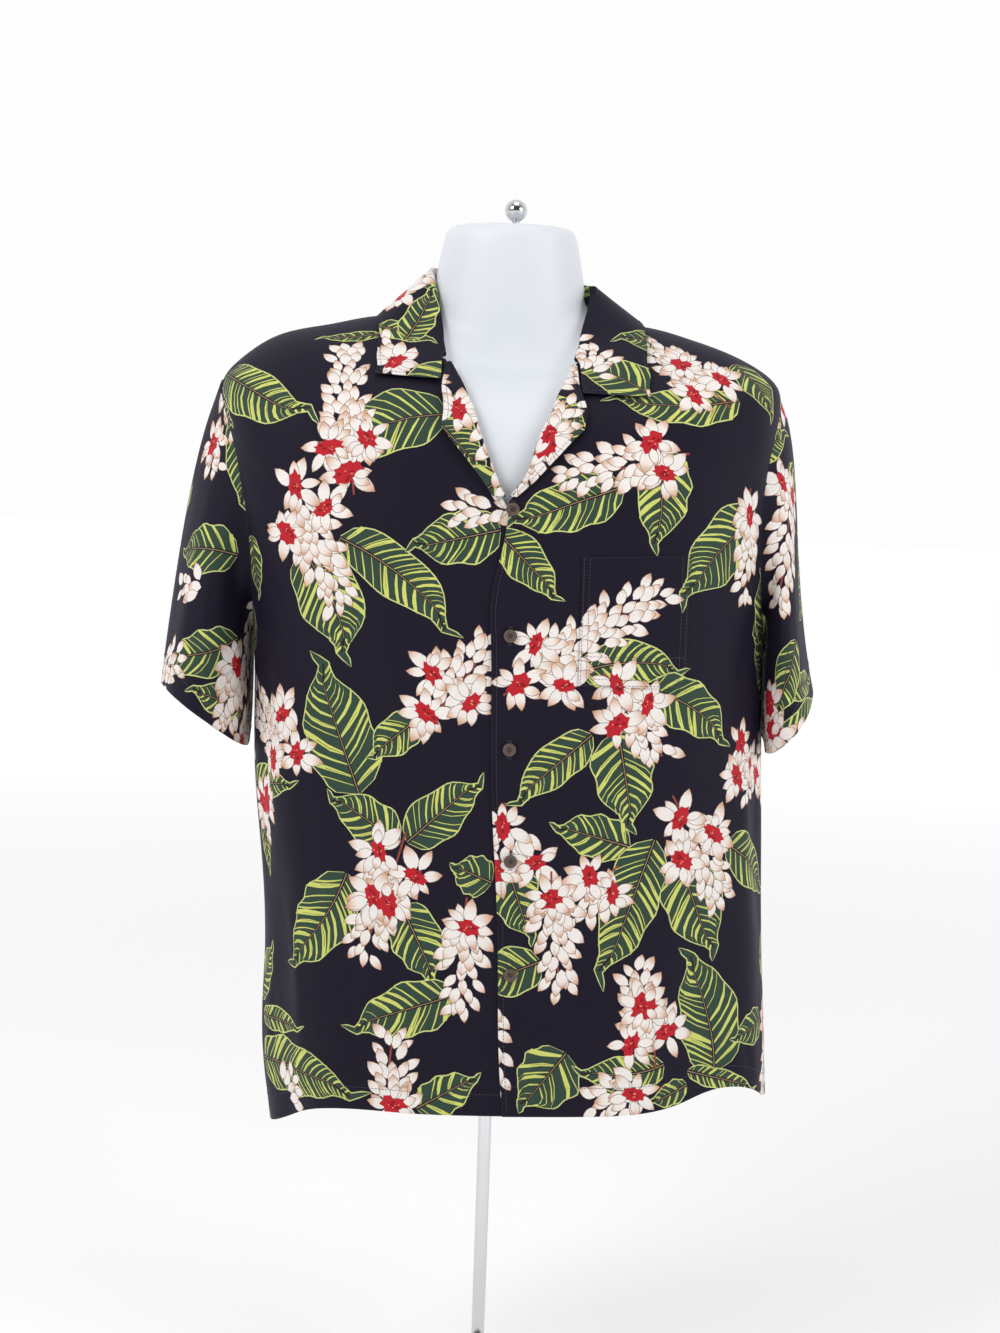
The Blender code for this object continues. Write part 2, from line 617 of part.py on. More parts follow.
def lapel_grid(side, tree):
    """A lapel: out of the V, over the roll and back across the front."""
    front, lapel = ("left_front", "left_lapel") if side > 0 else ("right_front", "right_lapel")
    grid = []
    levels = panel_levels()
    levels = levels[(levels > LAPEL["along"][0]) & (levels < LAPEL["along"][-1])]
    for along in (*levels, LAPEL["along"][-1]):
        roll = free_edge(front, along)
        outer = np.interp(along, LAPEL["along"], LAPEL[lapel])
        edge_lift = CLOTH + REST_GAP + LAPEL_EDGE_LIFT * math.sin(
            math.pi * (along - LAPEL["along"][0]) / (LAPEL["along"][-1] - LAPEL["along"][0]))
        start = roll - side * (REST_GAP + CLOTH / 4)
        line = []
        for turn in np.radians((0, 60, 120)):
            line.append(shirt(theta_at(start - side * FOLD_RADIUS * math.sin(turn), along),
                              along, FOLD_RADIUS * (1 - math.cos(turn))))
        for share in (0.0, 0.33, 0.66, 1.0):
            line.append(shirt(theta_at(start + (outer - start) * share, along), along,
                              2 * FOLD_RADIUS + (edge_lift - 2 * FOLD_RADIUS) * share))
        grid.append(line)
    grid = np.array(grid)
    grid[:, 4:] = laid_over(grid[:, 4:], tree, CLOTH + REST_GAP)
    return grid


# ----------------------------------------------------------- pocket and buttons
def pocket_grid(rows=7, cols=6):
    grid = []
    for along in np.linspace(*POCKET_ALONG, rows):
        x = np.linspace(*POCKET_X, cols) - RING["shift"](along)
        grid.append(shirt(theta_at(x, along), along, CLOTH + REST_GAP))
    return np.array(grid)


def turned(name, profile, finish, steps=24):
    """A turned piece: its profile runs down the outer side, top to bottom."""
    edges = [(i, i + 1) for i in range(len(profile) - 1)]
    if profile[0] == profile[-1]:
        profile, edges[-1] = profile[:-1], (len(profile) - 2, 0)
    mesh = bpy.data.meshes.new(name)
    mesh.from_pydata([(radius, 0, z) for radius, z in profile], edges, [])
    piece = bpy.data.objects.new(name, mesh)
    PARTS.objects.link(piece)
    screw = piece.modifiers.new("turn", "SCREW")
    screw.axis = "Z"
    screw.steps = screw.render_steps = steps
    screw.use_merge_vertices = True
    screw.merge_threshold = 0.00005
    return link(piece, finish)


def button_profile():
    radius, thick = BUTTON_DIAMETER / 2, BUTTON_THICKNESS
    return [(0, thick * 0.60), (radius * 0.50, thick * 0.66), (radius * 0.72, thick),
            (radius * 0.92, thick * 0.94), (radius, thick * 0.60), (radius * 0.80, 0), (0, 0)]


def along_at_height(height):
    """The level at which the centre front stands that high."""
    levels = np.linspace(0, SHOULDER_TIP, 400)
    return float(np.interp(height, RING["z_front"](levels), levels))


def buttons(finish):
    for number, (x, height) in enumerate(BUTTON_ROWS, start=1):
        along = along_at_height(height)
        theta = theta_at(x - RING["shift"](along), along)
        place = shirt(theta, along, CLOTH / 2 + SEAM_GAP)
        normal, _, _ = surface_frame(theta, np.array(along))
        button = turned(f"button_{number}", button_profile(), finish, steps=16)
        button.location = place
        button.rotation_mode = "QUATERNION"
        button.rotation_quaternion = Vector(normal).to_track_quat("Z", "Y")


# -------------------------------------------------------- dress form and stand
def form_rings(cols=28):
    """The dress form's rings, from its foot to the top of its neck."""
    theta = np.linspace(0, 2 * math.pi, cols, endpoint=False)
    sin, cos = np.sin(theta), np.cos(theta)
    inset = {name: smooth_curve(FORM["along"], FORM[name]) for name in FORM_COLUMNS[1:]}
    rings = []
    for along in np.concatenate([np.linspace(FORM_START, FORM_CHEST, 10),
                                 np.linspace(FORM_CHEST, FORM["along"][-1], 10)[1:]]):
        at = {name: float(curve(along)) for name, curve in inset.items()}
        level = np.full_like(theta, along)
        normal, _, _ = surface_frame(theta, level)
        depth = at["in_side"] + (np.where(cos > 0, at["in_front"], at["in_back"])
                                 - at["in_side"]) * cos ** 2
        ring = bare_surface(theta, level, min(max(at["shift_share"], 0), 1))
        ring -= normal * depth[:, None]
        flat = 1 - ease(FORM_START, FORM_WAIST, along)
        ring[:, 2] += flat * (FORM_BOTTOM + FORM_ROUND + along - FORM_START - ring[:, 2])
        rings.append(ring)
    foot = rings[0] * (FORM_FOOT_SHARE, FORM_FOOT_SHARE, 0) + (0, 0, FORM_BOTTOM)
    rings.insert(0, foot)
    for ring in named_rows(NECK_COLUMNS, NECK_ROWS):
        depth = np.where(cos > 0, -ring["front"], ring["back"])
        dip = np.where(cos > 0, ring["z_front"] - ring["z_side"], 0)
        rings.append(np.stack([NECK_SHIFT + ring["half_width"] * sin, -cos * depth,
                               ring["z_side"] + dip * cos ** 2], axis=-1))
    return np.array(rings)


def dress_form(finish):
    rings = form_rings()
    rows, cols = rings.shape[:2]
    faces = grid_faces(rows, cols, closed=True)
    faces.append(tuple(range(cols))[::-1])
    faces.append(tuple((rows - 1) * cols + j for j in range(cols)))
    mesh = bpy.data.meshes.new("dress_form")
    mesh.from_pydata(rings.reshape(-1, 3).tolist(), [], faces)
    piece = bpy.data.objects.new("dress_form", mesh)
    PARTS.objects.link(piece)
    return link(piece, finish, 50)


def finial(finish):
    foot = FORM_TOP + SEAM_GAP
    join = math.asin(STEM_RADIUS / BALL_RADIUS)
    ball = [(BALL_RADIUS * math.sin(turn), BALL_CENTRE + BALL_RADIUS * math.cos(turn))
            for turn in np.linspace(0, math.pi - join, 11)]
    stem = [(STEM_RADIUS, foot + STEM_FOOT), (STEM_RADIUS + STEM_FOOT * 2, foot + STEM_FOOT * 0.8),
            (STEM_RADIUS + STEM_FOOT * 2, foot), (0, foot)]
    return turned("finial", ball + stem, finish, 20)


def stand(chrome, plate):
    top = FORM_BOTTOM - SEAM_GAP
    bore = POLE_RADIUS + SEAM_GAP
    turned("form_flange", [
        (bore, top), (FLANGE_RADIUS, top), (FLANGE_RADIUS, top - FLANGE_THICKNESS),
        (bore + FLANGE_WALL, top - FLANGE_THICKNESS), (bore + FLANGE_WALL, top - FLANGE_SLEEVE),
        (bore, top - FLANGE_SLEEVE), (bore, top)], chrome)
    turned("pole", [(0, top - SEAM_GAP), (POLE_RADIUS, top - SEAM_GAP),
                    (POLE_RADIUS, POLE_FOOT + SEAM_GAP), (0, POLE_FOOT + SEAM_GAP)], chrome, 20)
    turned("base", [
        (0, POLE_FOOT), (bore, POLE_FOOT), (bore, HUB_HEIGHT), (HUB_RADIUS, HUB_HEIGHT),
        (HUB_RADIUS, BASE_THICKNESS), (BASE_RADIUS - BASE_BEVEL, BASE_THICKNESS),
        (BASE_RADIUS, BASE_THICKNESS - BASE_BEVEL), (BASE_RADIUS, BASE_BEVEL / 2),
        (BASE_RADIUS - BASE_BEVEL / 2, 0),
        (0, 0)], plate, 40)


def build():
    rayon = material("printed_rayon", (0.016, 0.013, 0.024), 0.75)
    coconut = material("coconut_shell", (0.110, 0.060, 0.035), 0.50)
    satin = material("painted_form", (0.74, 0.76, 0.79), 0.45)
    chrome = material("chromed_steel", (0.72, 0.73, 0.74), 0.08, 1.0)
    plate = material("chromed_base", (0.70, 0.71, 0.72), 0.12, 1.0)

    left, right, back = front_grid(1), front_grid(-1), back_grid()
    cloth("shirt_front_left", left, rayon)
    cloth("shirt_front_right", right, rayon)
    cloth("shirt_back", back, rayon)
    body = tree_of(left, right, back)
    for name, cuff in CUFFS.items():
        cloth(name, sleeve_grid(name, body), rayon, closed=True, flipped=cuff["side"] < 0)
    cloth("lapel_left", lapel_grid(1, body), rayon)
    cloth("lapel_right", lapel_grid(-1, body), rayon)
    cloth("collar", collar_grid(body), rayon)
    cloth("pocket", pocket_grid(), rayon)
    buttons(coconut)
    dress_form(satin)
    finial(chrome)
    stand(chrome, plate)


for old in list(bpy.data.objects):
    bpy.data.objects.remove(old, do_unlink=True)
PARTS = bpy.data.collections.new("hawaiian_shirt_on_form")
bpy.context.scene.collection.children.link(PARTS)
build()
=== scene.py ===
# %% [markdown]
# # A hawaiian shirt on a dress form
# A camp shirt is a few flat pieces of printed rayon, cut, sewn and hung on a form.
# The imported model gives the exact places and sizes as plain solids. This lesson keeps
# them and builds the looks: thin cloth with soft folds, a print that lies in the cloth
# itself, rows of stitches, carved buttons and the finishes of the form and its stand.

import json
import math
from functools import partial

import bpy
import numpy as np
from mathutils import Matrix, Vector
from mathutils.bvhtree import BVHTree
from mathutils.geometry import delaunay_2d_cdt
from mathutils.kdtree import KDTree

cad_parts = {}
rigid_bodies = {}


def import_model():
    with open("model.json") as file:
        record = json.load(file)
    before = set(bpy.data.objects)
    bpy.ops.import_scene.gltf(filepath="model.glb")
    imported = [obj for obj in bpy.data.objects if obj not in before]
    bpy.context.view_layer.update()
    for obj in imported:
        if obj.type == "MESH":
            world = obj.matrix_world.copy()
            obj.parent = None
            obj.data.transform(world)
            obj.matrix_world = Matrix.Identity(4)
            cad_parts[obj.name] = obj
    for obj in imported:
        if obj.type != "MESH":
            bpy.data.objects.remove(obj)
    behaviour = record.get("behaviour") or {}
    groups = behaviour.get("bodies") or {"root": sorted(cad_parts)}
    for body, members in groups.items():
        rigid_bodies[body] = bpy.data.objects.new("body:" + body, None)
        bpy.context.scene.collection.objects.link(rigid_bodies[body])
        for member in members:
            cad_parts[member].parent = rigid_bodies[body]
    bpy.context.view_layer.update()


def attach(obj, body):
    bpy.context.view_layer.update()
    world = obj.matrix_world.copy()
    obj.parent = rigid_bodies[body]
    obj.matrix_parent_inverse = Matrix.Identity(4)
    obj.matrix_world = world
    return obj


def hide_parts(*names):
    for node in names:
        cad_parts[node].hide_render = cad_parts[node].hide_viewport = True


for old in list(bpy.data.objects):
    bpy.data.objects.remove(old, do_unlink=True)
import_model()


def to_linear(colour):
    """An sRGB hex value such as "#1f1b29" as linear red, green, blue and 1."""
    parts = [int(colour[i:i + 2], 16) / 255 for i in (1, 3, 5)]
    return (*[c / 12.92 if c <= 0.04045 else ((c + 0.055) / 1.055) ** 2.4 for c in parts], 1.0)


# %% [markdown]
# ## The camera
# The eye stands 2.2 m in front of the shirt, level with its chest, and looks down a
# little. A camera's aim is a rotation matrix: its columns are the camera's right, up and
# backward directions. Building them from three small angles keeps each one readable.

# %% The camera
EYE = (0.0, -2.2, 0.838)
PITCH_DOWN = math.radians(3.94)
ROLL = math.radians(-1.96)       # the stand leans this much to the right in the frame
FOCAL_PIXELS = 2420
LONG_SIDE = 1333
SENSOR = 36.0


def aim(yaw, pitch, roll):
    """The camera's axes: turned left by the yaw, down by the pitch and then rolled."""
    turn = Matrix.Rotation(yaw, 3, "Z")
    forward = turn @ Vector((0, math.cos(pitch), -math.sin(pitch)))
    up = turn @ Vector((0, math.sin(pitch), math.cos(pitch)))
    right = turn @ Vector((1, 0, 0))
    rolled_right = right * math.cos(roll) - up * math.sin(roll)
    rolled_up = right * math.sin(roll) + up * math.cos(roll)
    return Matrix((rolled_right, rolled_up, -forward)).transposed()


lens = bpy.data.cameras.new("camera")
lens.sensor_width = SENSOR
lens.lens = FOCAL_PIXELS / LONG_SIDE * SENSOR
camera = bpy.data.objects.new("camera", lens)
bpy.context.scene.collection.objects.link(camera)
camera.matrix_world = Matrix.Translation(EYE) @ aim(
    math.atan(0.5 / FOCAL_PIXELS), PITCH_DOWN, ROLL).to_4x4()
bpy.context.scene.camera = camera
print("camera lens:", round(lens.lens, 2), "mm")

# %% [markdown]
# ## The hung shirt as one surface
# A worn shirt is a soft tube that closes over the shoulders. A place on it is given by
# theta, the angle around the body (0 is the centre front, +90 degrees the wearer's left
# side), and by along, the distance from the hem up the side and over the shoulder. One
# table holds a row for each ring around the body, and cubic curves join the rows, so a
# whole shirt needs only a few dozen numbers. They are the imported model's own.

# %% The surface
WALL = 0.0014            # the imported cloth's thickness
REST_GAP = 0.0006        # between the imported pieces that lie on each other
SEAM_GAP = 0.0001        # between two pieces of cloth at a seam
UNDERARM = 0.435         # along, at the bottom of the armhole
SHOULDER_TIP = 0.665     # along, at the top of the armhole
ARMHOLE_CUT = math.radians(27)
SHOULDER_ROWS_END = 0.790
GORGE_ALONG = 0.812      # where collar and lapel meet on the roll line
NECK_SEAM = 0.849

RING_COLUMNS = ("along", "half_width", "shift", "front", "back",
                "z_front", "z_side", "z_back", "lean", "square")
RING_ROWS = (
    (0.000, 0.2265, 0.0290, -0.150, 0.122, 0.3090, 0.2855, 0.2950, 0.0195, 0.12),
    (0.060, 0.2290, 0.0240, -0.150, 0.122, 0.3670, 0.3420, 0.3530, 0.0080, 0.13),
    (0.130, 0.2273, 0.0212, -0.148, 0.121, 0.4360, 0.4110, 0.4190, 0.0015, 0.14),
    (0.205, 0.2265, 0.0172, -0.147, 0.121, 0.5040, 0.4850, 0.4910, 0.0000, 0.16),
    (0.315, 0.2300, 0.0098, -0.148, 0.124, 0.6010, 0.5950, 0.5970, 0.0000, 0.19),
    (0.435, 0.2305, 0.0060, -0.149, 0.130, 0.7120, 0.7150, 0.7150, 0.0000, 0.22),
    (0.550, 0.2410, -0.0020, -0.146, 0.133, 0.8100, 0.8300, 0.8270, 0.0000, 0.25),
    (0.620, 0.2480, -0.0060, -0.140, 0.129, 0.8650, 0.8960, 0.8950, 0.0000, 0.24),
    (0.665, 0.2505, -0.0070, -0.132, 0.120, 0.8950, 0.9380, 0.9370, 0.0000, 0.20),
    (0.692, 0.2385, -0.0045, -0.124, 0.110, 0.9090, 0.9555, 0.9520, -0.0010, 0.16),
    (0.729, 0.2060, -0.0050, -0.113, 0.098, 0.9230, 0.9760, 0.9670, -0.0024, 0.12),
    (0.775, 0.1600, -0.0030, -0.097, 0.083, 0.9370, 0.9895, 0.9820, -0.0010, 0.10),
    (0.812, 0.1220, -0.0010, -0.081, 0.070, 0.9490, 0.9980, 0.9940, -0.0010, 0.08),
    (0.849, 0.0800, 0.0000, -0.064, 0.058, 0.9600, 1.0080, 1.0080, -0.0020, 0.06),
    (0.867, 0.0735, 0.0000, -0.058, 0.054, 0.9710, 1.0215, 1.0250, -0.0040, 0.05),
    (0.890, 0.0712, -0.0010, -0.055, 0.052, 0.9870, 1.0385, 1.0470, -0.0060, 0.05),
)

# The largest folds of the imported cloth: each runs from its low end to its high end.
FOLD_COLUMNS = ("theta_low", "theta_high", "along_low", "along_high", "width", "height")
FOLD_ROWS = (
    (-38, -52, -0.10, 0.42, 11, 0.0045),
    (-60, -63, -0.10, 0.30, 8, -0.0040),
    (-16, -10, -0.10, 0.22, 8, -0.0025),
    (24, 30, -0.12, 0.20, 9, 0.0040),
    (44, 40, -0.12, 0.26, 8, -0.0045),
    (62, 60, -0.10, 0.40, 9, 0.0045),
    (74, 50, 0.16, 0.56, 7, -0.0030),
    (-76, -48, 0.18, 0.58, 7, -0.0030),
    (112, 124, -0.12, 0.45, 10, 0.0050),
    (136, 142, -0.12, 0.50, 10, -0.0050),
    (160, 160, -0.12, 0.60, 10, 0.0050),
    (184, 181, -0.12, 0.66, 10, -0.0045),
    (206, 202, -0.12, 0.58, 10, 0.0050),
    (228, 218, -0.12, 0.46, 10, -0.0045),
    (250, 238, -0.12, 0.40, 10, 0.0045),
)
FOLD_FADES = 0.45        # share of a fold's run after which it dies out
FOLD_GROWS = 0.10        # along, over which a fold grows at its low end

HEM_COLUMNS = ("theta", "width", "rise")
HEM_ROWS = (
    (-44, 24, 0.019),
    (16, 14, -0.002),
    (52, 18, 0.020),
    (130, 20, 0.006),
    (215, 24, 0.008),
)
HEM_WAVE_REACH = 0.075


def columns(names, rows):
    """A table as named arrays, one for each column."""
    return {name: np.array(values, float) for name, values in zip(names, zip(*rows))}


def named_rows(names, rows):
    """A table as one dictionary for each row."""
    return [dict(zip(names, row)) for row in rows]


def smooth_curve(knots, values):
    """A natural cubic spline through the values, as a function of the knots."""
    step = np.diff(knots)
    slope = np.diff(values) / step
    count = len(knots)
    system, right = np.eye(count), np.zeros(count)
    for i in range(1, count - 1):
        system[i, i - 1:i + 2] = step[i - 1], 2 * (step[i - 1] + step[i]), step[i]
        right[i] = 6 * (slope[i] - slope[i - 1])
    bend = np.linalg.solve(system, right)

    def curve(at):
        i = np.clip(np.searchsorted(knots, at) - 1, 0, count - 2)
        h, a, b = step[i], knots[i + 1] - at, at - knots[i]
        return ((bend[i] * a ** 3 + bend[i + 1] * b ** 3) / (6 * h)
                + (values[i] / h - bend[i] * h / 6) * a
                + (values[i + 1] / h - bend[i + 1] * h / 6) * b)
    return curve


def ease(low, high, value):
    """0 below low, 1 above high, and a smooth step between."""
    share = np.clip((value - low) / (high - low), 0, 1)
    return share * share * (3 - 2 * share)


def unit(vectors):
    """Vectors of length 1."""
    return vectors / np.linalg.norm(vectors, axis=-1, keepdims=True)


def bell(away, width):
    """1 in the middle, falling off softly to both sides."""
    return np.exp(-(away / width) ** 2)


def turn_from(theta, centre, width):
    """How near an angle is to a centre, as a soft bell around the body."""
    return bell((theta - centre + math.pi) % (2 * math.pi) - math.pi, width)


RINGS = columns(RING_COLUMNS, RING_ROWS)
RING = {name: smooth_curve(RINGS["along"], RINGS[name]) for name in RING_COLUMNS[1:]}


def bare_surface(theta, along, shift_share=1.0):
    """The surface without its folds; with no shift share it is symmetrical."""
    theta, along = np.broadcast_arrays(np.asarray(theta, float), np.asarray(along, float))
    at = {name: curve(along) for name, curve in RING.items()}
    sin, cos = np.sin(theta), np.cos(theta)
    x = at["shift"] * shift_share + at["half_width"] * sin * (1 + at["square"] * cos ** 2)
    depth = np.where(cos > 0, -at["front"], at["back"])
    y = -cos * (1 + at["square"] * sin ** 2) * depth
    z_end = np.where(cos > 0, at["z_front"], at["z_back"])
    z = at["z_side"] + (z_end - at["z_side"]) * cos ** 2 + at["lean"] * sin * shift_share
    return np.stack([x, y, z], axis=-1)


def surface_normal(theta, along):
    """The outward direction, square to the bare surface."""
    step = 1e-4
    around = bare_surface(theta + step, along) - bare_surface(theta - step, along)
    upward = bare_surface(theta, along + step) - bare_surface(theta, along - step)
    return unit(np.cross(around, upward))


def hem_wave(theta, along):
    """How far the hem rises and dips; it fades further up."""
    rise = sum(wave["rise"] * turn_from(theta, math.radians(wave["theta"]),
                                        math.radians(wave["width"]))
               for wave in named_rows(HEM_COLUMNS, HEM_ROWS))
    return rise * bell(along, HEM_WAVE_REACH)


def fold_height(theta, along):
    """The large folds: each is fullest low down and dies out at its upper end."""
    total = np.zeros_like(theta)
    for fold in named_rows(FOLD_COLUMNS, FOLD_ROWS):
        low, high = fold["along_low"], fold["along_high"]
        share = np.clip((along - low) / (high - low), 0, 1)
        centre = np.radians(fold["theta_low"] + (fold["theta_high"] - fold["theta_low"]) * share)
        fullness = (1 - ease(FOLD_FADES, 1.0, share)) * ease(low, low + FOLD_GROWS, along)
        total += fold["height"] * fullness * turn_from(theta, centre, math.radians(fold["width"]))
    return total


# %% [markdown]
# ## Creases
# Cloth that hangs also carries small creases: drags below the shoulder, slack in front of
# the armhole, ripples above the hem. Each is a soft ridge (plus) or trough (minus) along a
# bowed line, with its own length, breadth and depth. Laying them one by one keeps them uneven
# and puts each where this shirt pulls.

# %% The creases
AROUND = 0.19            # metres of cloth for one radian around the body
# theta and along at both ends, bow, breadth and height in millimetres
CREASE_COLUMNS = ("theta_a", "along_a", "theta_b", "along_b", "bow", "breadth", "height")
CREASE_ROWS = (
    # right front, from the armhole down to the hem
    (-61, 0.600, -34, 0.505, 12, 10, -1.5),
    (-63, 0.560, -40, 0.470, 10, 9, 1.3),
    (-63, 0.520, -47, 0.420, 8, 9, -1.4),
    (-66, 0.470, -52, 0.330, 6, 11, 1.5),
    (-80, 0.430, -60, 0.250, 5, 10, -1.6),
    (-70, 0.360, -76, 0.180, -6, 12, 1.4),
    (-24, 0.500, -20, 0.300, 4, 13, 1.0),
    (-14, 0.380, -17, 0.180, -3, 11, -0.9),
    (-46, 0.300, -43, 0.120, 5, 13, -1.2),
    (-56, 0.200, -50, 0.040, 4, 9, 1.5),
    (-30, 0.170, -27, 0.030, -3, 9, 1.4),
    (-21, 0.110, -22, 0.012, 2, 7, -1.3),
    (-68, 0.120, -72, 0.016, 3, 8, -1.6),
    (-80, 0.150, -83, 0.020, -2, 9, 1.5),
    (-8, 0.090, -9, 0.010, 1, 7, 1.0),
    (-47, 0.055, -33, 0.040, 3, 6, -0.9),
    # left front
    (60, 0.600, 42, 0.540, -8, 9, -1.4),
    (62, 0.540, 46, 0.430, -10, 10, 1.4),
    (64, 0.490, 52, 0.330, -6, 10, -1.6),
    (66, 0.440, 60, 0.220, -5, 12, 1.5),
    (80, 0.430, 70, 0.260, -5, 10, -1.6),
    (76, 0.330, 80, 0.150, 4, 11, 1.4),
    (36, 0.390, 33, 0.180, 5, 12, 1.1),
    (20, 0.360, 22, 0.150, -4, 11, -0.9),
    (10, 0.560, 12, 0.400, 2, 8, 0.9),
    (14, 0.150, 16, 0.020, 2, 8, 1.2),
    (30, 0.110, 34, 0.012, -2, 7, -1.5),
    (47, 0.120, 44, 0.014, 3, 8, 1.6),
    (56, 0.090, 60, 0.010, 2, 7, -1.6),
    (72, 0.130, 70, 0.020, 2, 9, 1.5),
    (82, 0.110, 84, 0.015, -2, 7, -1.4),
    (26, 0.052, 41, 0.036, -3, 6, -0.9),
    # the yoke of both fronts, below the collar
    (-36, 0.715, -52, 0.640, 6, 12, -1.0),
    (40, 0.700, 54, 0.630, -6, 12, -1.0),
    # back: slack below the shoulder blades and ripples above the hem
    (112, 0.600, 138, 0.500, -14, 11, -1.7),
    (117, 0.545, 146, 0.430, -12, 12, 1.6),
    (110, 0.470, 132, 0.340, -8, 12, -1.8),
    (248, 0.600, 222, 0.510, 14, 11, -1.7),
    (243, 0.550, 214, 0.440, 12, 12, 1.6),
    (250, 0.480, 228, 0.360, 8, 12, -1.8),
    (170, 0.640, 176, 0.420, 6, 14, 1.4),
    (192, 0.620, 188, 0.380, -5, 13, -1.4),
    (150, 0.340, 153, 0.150, 4, 11, -1.5),
    (172, 0.310, 169, 0.110, -4, 12, 1.5),
    (196, 0.330, 199, 0.120, 5, 11, -1.4),
    (216, 0.290, 213, 0.090, -4, 12, 1.6),
    (236, 0.260, 240, 0.080, 4, 10, -1.6),
    (126, 0.280, 122, 0.090, -4, 11, 1.6),
    (104, 0.330, 100, 0.120, 5, 10, -1.5),
    (258, 0.330, 262, 0.130, -5, 10, 1.5),
    (148, 0.100, 145, 0.012, 3, 8, 1.6),
    (163, 0.110, 166, 0.015, -2, 8, -1.4),
    (181, 0.090, 179, 0.010, 2, 7, 1.4),
    (204, 0.120, 207, 0.014, -3, 8, 1.6),
    (224, 0.090, 221, 0.012, 2, 7, -1.5),
    (246, 0.110, 249, 0.015, -2, 8, 1.5),
    (114, 0.100, 110, 0.014, 2, 8, -1.5),
)


def crease_height(theta, along):
    """The small creases' height: each is a bell across its line and fades at its ends."""
    theta = (theta + math.radians(100)) % (2 * math.pi) - math.radians(100)
    place = np.stack([theta * AROUND, along], axis=-1)
    total = np.zeros_like(theta)
    for crease in named_rows(CREASE_COLUMNS, CREASE_ROWS):
        start = np.array([math.radians(crease["theta_a"]) * AROUND, crease["along_a"]])
        run = np.array([math.radians(crease["theta_b"]) * AROUND, crease["along_b"]]) - start
        length = np.linalg.norm(run)
        run /= length
        side = np.array([-run[1], run[0]])
        share = np.clip((place - start) @ run / length, 0, 1)
        away = (place - start) @ side - crease["bow"] / 1000 * np.sin(math.pi * share)
        fade = np.sin(math.pi * share) ** 0.8
        total += crease["height"] / 1000 * fade * bell(away, crease["breadth"] / 1000)
    return total


def shirt(theta, along, lift=0.0):
    """A point of the hung cloth's middle, moved out by the lift."""
    theta, along = np.broadcast_arrays(np.asarray(theta, float), np.asarray(along, float))
    points = bare_surface(theta, along)
    points[..., 2] += hem_wave(theta, along)
    height = fold_height(theta, along) + crease_height(theta, along) + lift
    return points + surface_normal(theta, along) * height[..., None]


def theta_at(x_from_centre, along):
    """The angle at which the surface stands that far from the centre front."""
    half_width, square = RING["half_width"](along), RING["square"](along)
    sin = x_from_centre / half_width
    for _ in range(6):
        sin = x_from_centre / (half_width * (1 + square * (1 - sin ** 2)))
    return np.arcsin(np.clip(sin, -1, 1))


print("creases:", len(CREASE_ROWS), "folds:", len(FOLD_ROWS))

# %% [markdown]
# ## The pieces a maker cuts
# Each piece is a grid of points on the hung surface: fronts from the free edge to the side
# seam and armhole, the back between both, sleeves from the armhole down to the cuff. The
# edges of the grid are the edges of the cut piece, so hems and seams need no trimming.

# %% Fronts and back
CLOTH = 0.0008           # thickness of the shown cloth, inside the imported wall
LAP = 0.0145             # each front passes the centre front by this much
UNDERLAP = (0.020, 0.090)
ROLL_STARTS = {"right_front": 0.562, "left_front": 0.460}   # along, where an edge leaves its lap
ROLL_COLUMNS = ("along", "right_front", "left_front")
ROLL_ROWS = (
    (0.583, 0.0025, 0.0062),
    (0.610, -0.0065, 0.0235),
    (0.640, -0.0140, 0.0330),
    (0.700, -0.0285, 0.0440),
    (0.760, -0.0395, 0.0525),
    (0.812, -0.0560, 0.0580),
)
NECKLINE_COLUMNS = ("theta", "along")
NECKLINE_ROWS = ((28, 0.812), (45, 0.8245), (65, 0.838), (90, 0.849))
ROLL = columns(ROLL_COLUMNS, ROLL_ROWS)
NECKLINE = columns(NECKLINE_COLUMNS, NECKLINE_ROWS)
ROLL_LINE = {front: smooth_curve(ROLL["along"], ROLL[front])
             for front in ("right_front", "left_front")}


def seam_angle(theta, along):
    """The angle that half a seam gap takes up there."""
    step = 1e-4
    span = np.linalg.norm(bare_surface(theta + step, along) - bare_surface(theta - step, along),
                          axis=-1)
    return 0.5 * SEAM_GAP * 2 * step / span


def armhole_cut(along):
    """How far the armhole cuts a panel back from the side, as an angle."""
    middle, half = (SHOULDER_TIP + UNDERARM) / 2, (SHOULDER_TIP - UNDERARM) / 2
    return ARMHOLE_CUT * np.sqrt(np.clip(1 - ((along - middle) / half) ** 2, 0, 1))


LEVEL_STEP, LEVEL_LEAST, LEVEL_GROWTH = 0.008, 0.0006, 0.3


def panel_levels():
    """The rows of a panel: they draw together, step by step, where the armhole ends."""
    places = np.linspace(0, SHOULDER_ROWS_END, 20000)
    away = np.minimum(abs(places - UNDERARM), abs(places - SHOULDER_TIP))
    step = np.minimum(LEVEL_STEP, LEVEL_LEAST + LEVEL_GROWTH * away)
    passed = np.concatenate([[0], np.cumsum(np.diff(places) / step[1:])])
    levels = []
    for low, high in ((0, UNDERARM), (UNDERARM, SHOULDER_TIP), (SHOULDER_TIP, SHOULDER_ROWS_END)):
        start, end = np.interp((low, high), places, passed)
        count = math.ceil(end - start)
        levels.append(np.interp(np.linspace(start, end, count + 1), passed, places)[:-1])
        levels[-1][0] = low
    return np.concatenate(levels + [[SHOULDER_ROWS_END]])


def free_edge(front, along):
    """x of a front's free edge from the centre front: lapped, then rolled back."""
    lap = LAP if front == "right_front" else -LAP
    rolled = ROLL_LINE[front](np.maximum(along, ROLL["along"][0]))
    opened = ease(ROLL_STARTS[front], ROLL["along"][0], along)
    return lap + (rolled - lap) * opened


